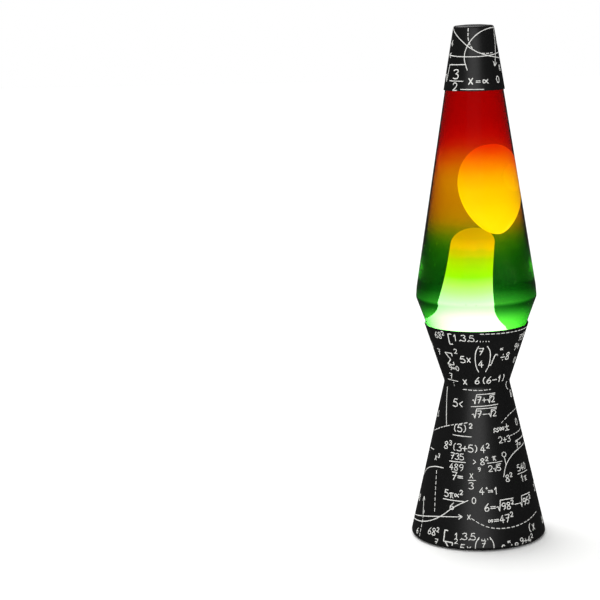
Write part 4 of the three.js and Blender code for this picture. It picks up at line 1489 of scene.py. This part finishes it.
def bottle_inside(sizes):
    """The bottle's inner line, from the middle of its floor up to its mouth."""
    top = high_mm("glass_bottle")[2]
    wall = sizes.glass_wall / MM
    return rounded([
        (0, 143.8), (15, 143.2, 8), (21, 142.2, 2), (24.6, 143.8, 2),
        (seat_radius(148) - wall - 0.2, 148, 3), (seat_radius(190.5) - wall, 190.5, 5),
        (cone_radius(200.5) - wall, 200.5, 0), (cone_radius(351) - wall, 351, 6),
        (cone_radius(356) - wall - 0.5, 356, 4), (15.4, 363.5, 6), (11.4, 368, 4), (8.6, 373, 3),
        (8.2, 378, 2), (8.2, top - 0.6, 0.3), (9, top),
    ])


def radius_along(line, height):
    """The radius of a bottle's line at a height, above its floor's first corners."""
    return np.interp(height, line[3:, 1], line[3:, 0])


FILL_TOP = 356.0  # height in mm up to which the bottle is full


def build_bottle(sizes):
    """The glass as one turned wall with a finish for each side, and the liquid that fills it."""
    outer, inner = evened(bottle_outside(), 4), evened(bottle_inside(sizes), 4)
    surface = turned(np.concatenate([outer, inner[::-1]]), sizes.facets)
    glass = piece("bottle_glass", surface, [coated_glass(), inner_glass()], "bottle",
                  ["glass_bottle"], crease=60)
    centres = np.empty(len(glass.data.polygons) * 3)
    normals = np.empty_like(centres)
    glass.data.polygons.foreach_get("center", centres)
    glass.data.polygons.foreach_get("normal", normals)
    centres, normals = centres.reshape(-1, 3) / MM, normals.reshape(-1, 3)
    reach = np.linalg.norm(centres[:, :2], axis=1)
    inwards = reach < (radius_along(inner, centres[:, 2]) + radius_along(outer, centres[:, 2])) / 2
    floor = (centres[:, 2] < 146) & (reach < 25)
    inwards = np.where(floor, normals[:, 2] > 0, inwards)
    glass.data.polygons.foreach_set("material_index", inwards.astype(np.int32))

    gap = 0.3
    lining = inner[inner[:, 1] < FILL_TOP]
    lining = np.concatenate([lining[:1] + [0, gap], lining[1:] + [-gap, gap]])
    lining = lining[lining[:, 1] < FILL_TOP - 0.2]
    liquid = np.concatenate([lining, [(lining[-1, 0], FILL_TOP), (0, FILL_TOP)]])
    piece("lamp_liquid", turned(liquid, 128), [lamp_liquid()], "bottle", ["lava_liquid"])


def build_crown():
    """The crown closure, r = profile + 0.5 cos(21 angle) growing down its skirt, and the seal in it."""
    outside = rounded([(0, 390.2), (11.6, 390.2, 1.2), (13.4, 389.3, 1.0), (15.4, 383.4)])
    inside = rounded([(0, 389.8), (11.5, 389.8, 0.9), (13.1, 388.9, 0.7), (15.0, 383.4)])
    profile = np.concatenate([evened(outside, 0.7), evened(inside, 0.7)[::-1]])

    def fluted(turn, radius, height):
        depth = np.clip((388.8 - height) / 5.4, 0, 1)
        return 0.5 * depth * np.cos(21 * turn)

    surface = turned(profile, 252, swell=fluted)
    piece("crown", surface, [rolled_tinplate()], "bottle", ["crown_cap"])
    # Soft plastic liner: white, dull and even.
    liner = solid_finish("soft_liner", linear("#dcdcd6"), 0.7, spread=0.05, grain_mm=1.0, bump_mm=0.01)
    disc = rounded([(0, 388.3), (11.4, 388.3, 0.3), (11.4, 389.5, 0.3), (0, 389.5)])
    piece("crown_seal", turned(disc, 64), [liner], "bottle", ["crown_liner"])


# ---- Wax -----------------------------------------------------------------------------------------


def stacked(share, x, y, z, radius, facets=72):
    """Round slices up a line: centre and radius are arrays over the share, and both ends shrink to points."""
    turn = np.arange(facets)[None, :] * TURN / facets
    across = x[:, None] + radius[:, None] * np.cos(turn)
    deep = y[:, None] + radius[:, None] * np.sin(turn)
    points = np.stack([across, deep, np.broadcast_to(z[:, None], across.shape)], -1)
    return points.reshape(-1, 3), grid_faces(len(share), facets, closed_columns=True)


# Light that the wax gives off before the coat colours it: (height in mm, red, green and blue).
FLOATING_GLOW = (
    (240, (1.5, 1.5, 0.01)),
    (256, (1.46, 1.6, 0.01)),
    (263, (1.4, 1.52, 0.01)),
    (270, (1.36, 1.34, 0.01)),
    (280, (1.3, 1.14, 0.01)),
    (290, (1.28, 0.92, 0.01)),
    (297, (1.26, 0.68, 0.01)),
    (304, (1.2, 0.45, 0.01)),
    (312, (1.12, 0.34, 0.01)),
)
RISING_GLOW = (
    (150, (32, 14, 27)),
    (180, (26, 13, 21)),
    (189, (13.5, 9, 11.5)),
    (195, (11.2, 6, 5.3)),
    (201, (9.0, 4.4, 1.9)),
    (207, (5.1, 3.4, 0.05)),
    (213, (4.9, 2.95, 0.01)),
    (219, (3.95, 2.15, 0.01)),
    (225, (3.4, 1.5, 0.01)),
    (231, (2.4, 1.2, 0.01)),
    (237, (1.15, 0.88, 0.01)),
    (246, (0.62, 0.64, 0.01)),
)


def floating_wax_surface(sizes):
    """The floating wax: level round slices from its low point to its high one, as share goes from 0 to 1.

    Its height goes by (1 - cos(pi share)) / 2. Its radius is blob radius * (0.885 + 0.21 cos(pi (share - 0.5)
    - 0.9)) * sin(pi share), raised to a lower power near the top, which blunts it. Its middle leans to the
    right at both ends, by lean, and the radius there grows by as much.
    """
    share = (1 - np.cos(np.pi * np.linspace(0, 1, 61))) / 2
    along, belly = (1 - np.cos(np.pi * share)) / 2, np.sin(np.pi * share)
    full = 0.885 + 0.21 * np.cos(np.pi * (share - 0.5) - 0.9)
    blunt = belly ** (1 - 0.12 * np.clip((share - 0.5) / 0.4, 0, 1))
    from_top = np.clip((1 - share) / 0.4, 0, 1)
    lean = np.clip((share - 0.72) / 0.28, 0, 1) ** 1.5 + 1.6 * from_top**2 * (3 - 2 * from_top)
    low, high = low_mm("wax_blob")[2], high_mm("wax_blob")[2]
    return stacked(
        share,
        x=9.5 + 2.4 * (1 - share) ** 2 - 1.2 * belly + lean,
        y=np.full_like(share, -4.0),
        z=low + (high - low) * along,
        radius=(sizes.blob_radius / MM * full + lean) * blunt,
    )


def droplet_surfaces(count):
    """Small balls of wax just inside the front of the glass, strewn over the lower part of the bottle."""
    scatter = np.random.default_rng(11)
    arch = np.linspace(-np.pi / 2, np.pi / 2, 7)
    drops = []
    for _ in range(count):
        height = scatter.uniform(184, 236)
        reach = (cone_radius(max(height, 199)) if height > 196 else seat_radius(height)) - 3.6
        angle = scatter.uniform(-np.pi, 0.0)
        size = scatter.uniform(0.12, 0.34)
        distance = reach * scatter.uniform(0.9, 0.985)
        ball = turned(np.stack([size * np.cos(arch), size * np.sin(arch)], 1), 10)
        drops.append(moved(ball, (distance * math.cos(angle), distance * math.sin(angle), height)))
    return joined(drops)


def wire_spring_surface(turns=46, steps=14):
    """A round wire swept along a coil that runs in a ring on the bottle's floor.

    The coil's point is (16 + 2.15 cos(turns t)) from the axis at the angle t and 2.15 sin(turns t) up.
    """
    t = np.arange(turns * steps) * TURN / (turns * steps)
    coil = 2.15 * np.stack([np.cos(turns * t), np.sin(turns * t)], 1)
    reach = 16 + coil[:, 0]
    path = np.stack([reach * np.cos(t), reach * np.sin(t), 146.8 + coil[:, 1]], 1)
    return swept(circle(0.42, 8), path, closed_path=True)


def build_wax(sizes, colours):
    """The wax in three pieces: the floating one, the pool with its rising column, and small drops."""
    wax = glowing_wax(colours, "floating_wax_glow", FLOATING_GLOW)
    piece("floating_wax", floating_wax_surface(sizes), [wax], "wax", ["wax_blob"])
    hot = glowing_wax(colours, "rising_wax_glow", RISING_GLOW)
    piece("rising_wax", wax_pool_surface(sizes), [hot], "bottle", ["wax_pool"], crease=60)
    speck = glowing_wax(colours, "wax_droplet_glow", [(180, (3, 3.4, 1.6)), (240, (1.6, 1.8, 0.5))])
    piece("wax_droplets", droplet_surfaces(26), [speck], "bottle")


def build_wire_spring():
    """The spring at the bottom of the bottle."""
    # Bare stainless wire, drawn: a smooth grey metal.
    wire = solid_finish(
        "stainless_spring_wire", linear("#9a9da0"), 0.3, grain_mm=0.5, bump_mm=0.004, Metallic=1.0
    )
    piece("wire_spring", wire_spring_surface(), [wire], "bottle", ["wire_coil"])


def wax_pool_surface(sizes):
    """The pool and the column that rises out of it, as one skin round a line that leans with the column.

    Down the column the distance from its line is pillar radius * dome + 2.2 f + 5.8 f^4, where f is 0 at the
    top and 1 at the base's rim. A flare adds up to 8 mm over the 15 mm above the pool, less of it on the
    right. Near the pool's slanted top the skin swells to the bottle's wall by a smooth step.
    """
    facets = 120
    top = high_mm("wax_pool")[2]
    dome_height = 12.0
    crest = top - dome_height * (1 - np.cos(np.linspace(0, np.pi / 2, 22)))
    column = np.linspace(top - dome_height, 176, 40)[1:]
    skirt = np.linspace(176, 152, 44)[1:]
    z = np.concatenate([crest, column, skirt])[:, None]
    turn = np.arange(facets)[None, :] * TURN / facets
    fall = (top - z) / (top - 170)
    into = np.minimum((top - z) / dome_height, 1)
    dome = np.sqrt(into * (2 - into))
    radius = sizes.pillar_radius / MM * dome + 2.2 * fall + np.minimum(5.8 * fall**4, 12)
    radius = np.where(z >= top, 0, radius)
    inner = bottle_inside(sizes)
    wall = radius_along(inner, z) - 0.35
    settle = np.clip((170 - z) / 16, 0, 1)
    x0, y0 = (-0.6 - 6.7 * fall) * (1 - settle), 2.0 * (1 - settle)
    ahead = x0 * np.cos(turn) + y0 * np.sin(turn)
    reach = -ahead + np.sqrt(np.maximum(ahead**2 - x0**2 - y0**2 + wall**2, 0))
    plane = 160 - math.tan(0.13) * (x0 + reach * np.cos(turn))
    step = np.clip((z - plane + 1) / 9, 0, 1)
    swell = 1 - step * step * (3 - 2 * step)
    flare = 8 * np.clip((187 - z) / 15, 0, 1) ** 2 * (1 - 0.55 * np.clip(np.cos(turn), 0, 1))
    distance = np.minimum(radius + flare + (reach - radius - flare) * swell, reach)
    distance = np.where(z >= top, 0, distance)
    across, deep = x0 + distance * np.cos(turn), y0 + distance * np.sin(turn)
    rings = np.stack([across, deep, np.broadcast_to(z, distance.shape)], -1)
    foot = inner[(inner[:, 1] < 151.5) & (inner[:, 0] > 0)][::-1]
    foot = np.concatenate([foot + [-0.35, 0.3], [(0, 144.1)]])
    base = np.stack([foot[:, :1] * np.cos(turn), foot[:, :1] * np.sin(turn),
                     np.broadcast_to(foot[:, 1:], (len(foot), facets))], -1)
    points = np.concatenate([rings, base])
    return points.reshape(-1, 3), grid_faces(len(points), facets, closed_columns=True)


# ---- Cap -----------------------------------------------------------------------------------------

CAP_FOOT = (23.35, 351.0)
CAP_CORNER = (13.4, 397.1)


def cap_outside():
    """The cap's outer line from its foot to its top's middle."""
    top = high_mm("cap_shell")[2]
    corner = arc(CAP_CORNER, 2.2, 9, 82, 12)
    wall = evened([(CAP_FOOT[0], CAP_FOOT[1] + 0.3), corner[0]], 4)
    return np.concatenate([wall, corner[1:], [(7, top - 0.15), (0, top)]])


def build_cap(sizes):
    """The cap: a turned wall with a small rolled lip at its foot."""
    outer = cap_outside()
    sheet = sizes.cap_sheet / MM
    inner = offset_inwards(outer, sheet)
    inner[-1] = [0, outer[-1, 1] - sheet]
    lip = arc((outer[0] + inner[0]) / 2, sheet / 2, 180, 360, 8)
    lacquer = bpy.data.materials["satin_lacquer_on_spun_aluminium"]  # the base's
    profile = np.concatenate([outer[::-1], lip[::-1][1:-1], inner])
    surface = turned(profile, sizes.facets)
    piece("cap", surface, [lacquer], "cap", ["cap_shell"])


def build_cap_print(sizes):
    """Made-up marks in white ink, drawn over half the cap and repeated on the other half."""
    line = cap_outside()[:-3]
    pen = Pen(lambda z: np.interp(z, line[:, 1], line[:, 0]), seed=5, lowest=CAP_FOOT[1] + 0.4)
    draw(pen, CAP_WRITING, CAP_LINES, CAP_RINGS)
    surface = pen.surface(sizes.stroke / MM, sizes.ink / MM, 2)
    piece("cap_print", surface, [bpy.data.materials["white_screen_ink"]], "cap", crease=60)


CAP_WRITING = (
    ("3", -38, 360, 7), ("2", -38, 351.6, 5.6), ("×", -5, 355.4, 6.6), ("=", 9, 356, 4.6),
    ("∝", 24, 355.2, 6.4), ("0", 55, 356.4, 5), ("8", 70, 365.4, 4), ("4", -66, 384.5, 4),
    ("∆", 86, 385, 4),
)
CAP_LINES = (
    (((82, 397.6), (42, 397.4), (10, 394), (-13, 387), (-25, 377), (-14, 366.6)), 0, 0, False),
    (((72, 396.5), (66, 385), (50, 369)), 0, 0, True),
    (((-80, 398), (-38, 390), (-6, 382), (28, 377), (78, 374.5)), 0, 0, False),
    (((-15, 397.4), (-15, 388), (2, 380), (24, 378.4), (54, 379)), 2.0, 1.4, False),
    (((80, 379), (30, 376.6), (-30, 376.4), (-74, 377.6)), 0, 0, True),
    (((-56, 358.6), (-22, 358.4)), 0, 0, False),
    (((-82, 362), (-74, 363)), 0, 0, False),
    (((-74, 363), (-69, 358)), 0, 0, False),
    (((-69, 358), (-64, 370.4)), 0, 0, False),
    (((-64, 370.4), (-18, 370.8)), 0, 0, False),
    (((-26, 352.4), (18, 352.2)), 0, 0, False),
)
CAP_RINGS = ((76, 391, 0.4, 0, 360, 0, 0),)


# ---- Studio --------------------------------------------------------------------------------------


BOARD_HALF = 6.0  # half the board's side, in metres
CAMERA_PLACE = (0, -1.38683, 0.44070)
CAMERA_DOWN, CAMERA_TURN, CAMERA_ROLL = 10.248, 5.680, -1.554  # degrees
SUN_TILT, SUN_SIDE, SUN_SPREAD = -22, -16, 60  # degrees


def build_softbox(place, aim, size, energy):
    """A rectangular area light with a width and a height, aimed at a point."""
    data = bpy.data.lights.new("front_softbox", "AREA")
    data.shape = "RECTANGLE"
    data.size, data.size_y = size
    data.energy = energy
    thing = put_in_scene("front_softbox", data)
    thing.location = place
    x, y, z = np.array(aim, float) - np.array(place, float)
    thing.rotation_euler = (math.atan2(math.hypot(x, y), -z), 0, math.atan2(-x, y))


def build_surround():
    """A white world, whole to the camera and through glass, half as strong as light, and faint in glosses."""
    world = bpy.data.worlds.new("white_surround")
    bpy.context.scene.world = world
    world.use_nodes = True
    tree = world.node_tree
    tree.nodes.clear()
    output = add_node(tree, "ShaderNodeOutputWorld")
    path = add_node(tree, "ShaderNodeLightPath")
    seen = add_node(
        tree,
        "ShaderNodeMath",
        settings={"operation": "MAXIMUM"},
        links={0: path.outputs["Is Camera Ray"], 1: path.outputs["Is Transmission Ray"]},
    )
    other = add_node(
        tree,
        "ShaderNodeMapRange",
        inputs={"To Min": 0.5, "To Max": 0.05},
        links={"Value": path.outputs["Is Glossy Ray"]},
    )
    strength = add_node(
        tree, "ShaderNodeMix", inputs={3: 1.0}, links={0: seen.outputs[0], 2: other.outputs["Result"]}
    )
    light = add_node(
        tree, "ShaderNodeBackground", inputs={"Color": (1, 1, 1, 1)}, links={"Strength": strength.outputs[0]}
    )
    tree.links.new(light.outputs["Background"], output.inputs["Surface"])


def build_studio(colours):
    """A pale board, a white surround, a front softbox, a soft sun and the camera."""
    scene = bpy.context.scene
    scene.view_settings.view_transform = "Standard"
    half = BOARD_HALF
    mesh = bpy.data.meshes.new("board")
    corners = [(-half, -half, 0), (half, -half, 0), (half, half, 0), (-half, half, 0)]
    mesh.from_pydata(corners, [], [(0, 1, 2, 3)])
    mesh.materials.append(pale_board(colours))
    board = put_in_scene("board", mesh)
    board.visible_glossy = False

    build_surround()
    sun = bpy.data.lights.new("soft_sun", "SUN")
    sun.energy = 2.7
    sun.angle = math.radians(SUN_SPREAD)
    sun_thing = put_in_scene("soft_sun", sun)
    sun_thing.rotation_euler = (math.radians(SUN_TILT), math.radians(SUN_SIDE), 0)
    build_softbox((-0.04, -1.25, 0.5), (0, 0, 0.1), (1.15, 1.0), 6.5)

    camera = bpy.data.cameras.new("camera")
    camera.lens, camera.sensor_width = 108, 36
    camera.clip_start, camera.clip_end = 0.05, 50
    thing = put_in_scene("camera", camera)
    turn = (
        Matrix.Rotation(math.radians(CAMERA_TURN), 4, "Z")
        @ Matrix.Rotation(math.radians(90 - CAMERA_DOWN), 4, "X")
        @ Matrix.Rotation(math.radians(CAMERA_ROLL), 4, "Z")
    )
    thing.matrix_world = Matrix.Translation(Vector(CAMERA_PLACE)) @ turn
    scene.camera = thing


# ---- Operators and panel -------------------------------------------------------------------------


def settings():
    """The scene's sizes and colours."""
    return bpy.context.scene.lamp_sizes, bpy.context.scene.lamp_colours


class LAMP_OT_base(Operator):
    """Build the spun hourglass base"""

    bl_idname = "lamp.base"
    bl_label = "Base"

    def execute(self, context):
        build_base(*settings())
        return {"FINISHED"}


class LAMP_OT_base_print(Operator):
    """Build the base's white print"""

    bl_idname = "lamp.base_print"
    bl_label = "Base print"

    def execute(self, context):
        build_base_print(*settings())
        return {"FINISHED"}


class LAMP_OT_grommet(Operator):
    """Build the rubber grommet in the base's outlet"""

    bl_idname = "lamp.grommet"
    bl_label = "Outlet grommet"

    def execute(self, context):
        build_grommet(settings()[1])
        return {"FINISHED"}


class LAMP_OT_plate(Operator):
    """Build the slotted bottom plate"""

    bl_idname = "lamp.plate"
    bl_label = "Bottom plate"

    def execute(self, context):
        build_plate()
        return {"FINISHED"}


class LAMP_OT_feet(Operator):
    """Build the four rubber feet"""

    bl_idname = "lamp.feet"
    bl_label = "Feet"

    def execute(self, context):
        build_feet(settings()[1])
        return {"FINISHED"}


class LAMP_OT_screws(Operator):
    """Build the three countersunk screws"""

    bl_idname = "lamp.screws"
    bl_label = "Plate screws"

    def execute(self, context):
        build_screws()
        return {"FINISHED"}


class LAMP_OT_bracket(Operator):
    """Build the holder's bracket and its rivets"""

    bl_idname = "lamp.bracket"
    bl_label = "Bracket"

    def execute(self, context):
        build_bracket()
        return {"FINISHED"}


class LAMP_OT_nipple(Operator):
    """Build the threaded nipple and its nut"""

    bl_idname = "lamp.nipple"
    bl_label = "Nipple and nut"

    def execute(self, context):
        build_nipple()
        return {"FINISHED"}


class LAMP_OT_holder(Operator):
    """Build the lamp holder, its thread and its contact"""

    bl_idname = "lamp.holder"
    bl_label = "Lamp holder"

    def execute(self, context):
        build_holder(settings()[1])
        return {"FINISHED"}


class LAMP_OT_terminals(Operator):
    """Build the terminal blocks and their screws"""

    bl_idname = "lamp.terminals"
    bl_label = "Terminals"

    def execute(self, context):
        build_terminals()
        return {"FINISHED"}


class LAMP_OT_envelope(Operator):
    """Build the reflector bulb's glass"""

    bl_idname = "lamp.envelope"
    bl_label = "Bulb envelope"

    def execute(self, context):
        build_envelope()
        return {"FINISHED"}


class LAMP_OT_bulb_cap(Operator):
    """Build the bulb's screw, insulation and contact"""

    bl_idname = "lamp.bulb_cap"
    bl_label = "Bulb cap"

    def execute(self, context):
        build_bulb_cap()
        return {"FINISHED"}


class LAMP_OT_bulb_inside(Operator):
    """Build the bulb's stem, leads and filament"""

    bl_idname = "lamp.bulb_inside"
    bl_label = "Bulb inside"

    def execute(self, context):
        build_bulb_inside()
        return {"FINISHED"}


class LAMP_OT_bottle(Operator):
    """Build the bottle and its liquid"""

    bl_idname = "lamp.bottle"
    bl_label = "Bottle"

    def execute(self, context):
        build_bottle(settings()[0])
        return {"FINISHED"}


class LAMP_OT_crown(Operator):
    """Build the bottle's crown and its seal"""

    bl_idname = "lamp.crown"
    bl_label = "Crown closure"

    def execute(self, context):
        build_crown()
        return {"FINISHED"}


class LAMP_OT_wax(Operator):
    """Build the wax"""

    bl_idname = "lamp.wax"
    bl_label = "Wax"

    def execute(self, context):
        build_wax(*settings())
        return {"FINISHED"}


class LAMP_OT_wire_spring(Operator):
    """Build the spring at the bottom of the bottle"""

    bl_idname = "lamp.wire_spring"
    bl_label = "Wire spring"

    def execute(self, context):
        build_wire_spring()
        return {"FINISHED"}


class LAMP_OT_cap(Operator):
    """Build the cap"""

    bl_idname = "lamp.cap"
    bl_label = "Cap"

    def execute(self, context):
        build_cap(settings()[0])
        return {"FINISHED"}


class LAMP_OT_cap_print(Operator):
    """Build the cap's white print"""

    bl_idname = "lamp.cap_print"
    bl_label = "Cap print"

    def execute(self, context):
        build_cap_print(settings()[0])
        return {"FINISHED"}


class LAMP_OT_studio(Operator):
    """Build the board, the lights and the camera"""

    bl_idname = "lamp.studio"
    bl_label = "Studio"

    def execute(self, context):
        build_studio(settings()[1])
        return {"FINISHED"}


OPERATORS = (
    LAMP_OT_base,
    LAMP_OT_base_print,
    LAMP_OT_grommet,
    LAMP_OT_plate,
    LAMP_OT_feet,
    LAMP_OT_screws,
    LAMP_OT_bracket,
    LAMP_OT_nipple,
    LAMP_OT_holder,
    LAMP_OT_terminals,
    LAMP_OT_envelope,
    LAMP_OT_bulb_cap,
    LAMP_OT_bulb_inside,
    LAMP_OT_bottle,
    LAMP_OT_crown,
    LAMP_OT_wax,
    LAMP_OT_wire_spring,
    LAMP_OT_cap,
    LAMP_OT_cap_print,
    LAMP_OT_studio,
)


class LAMP_PT_panel(Panel):
    """The lamp's sizes, colours and operators"""

    bl_label = "Lava Lamp"
    bl_idname = "LAMP_PT_panel"
    bl_space_type = "VIEW_3D"
    bl_region_type = "UI"
    bl_category = "Lava Lamp"

    def draw(self, context):
        for group in settings():
            for name in group.__annotations__:
                self.layout.prop(group, name)
        for operator in OPERATORS:
            self.layout.operator(operator.bl_idname)


CLASSES = (LampSizes, LampColours, *OPERATORS, LAMP_PT_panel)


def register():
    for cls in CLASSES:
        bpy.utils.register_class(cls)
    bpy.types.Scene.lamp_sizes = PointerProperty(type=LampSizes)
    bpy.types.Scene.lamp_colours = PointerProperty(type=LampColours)


def unregister():
    del bpy.types.Scene.lamp_colours
    del bpy.types.Scene.lamp_sizes
    for cls in reversed(CLASSES):
        bpy.utils.unregister_class(cls)


def main():
    register()
    bpy.ops.lamp.base()
    bpy.ops.lamp.base_print()
    bpy.ops.lamp.grommet()
    bpy.ops.lamp.plate()
    bpy.ops.lamp.feet()
    bpy.ops.lamp.screws()
    bpy.ops.lamp.bracket()
    bpy.ops.lamp.nipple()
    bpy.ops.lamp.holder()
    bpy.ops.lamp.terminals()
    bpy.ops.lamp.envelope()
    bpy.ops.lamp.bulb_cap()
    bpy.ops.lamp.bulb_inside()
    bpy.ops.lamp.bottle()
    bpy.ops.lamp.crown()
    bpy.ops.lamp.wax()
    bpy.ops.lamp.wire_spring()
    bpy.ops.lamp.cap()
    bpy.ops.lamp.cap_print()
    bpy.ops.lamp.studio()


if __name__ == "__main__":
    main()
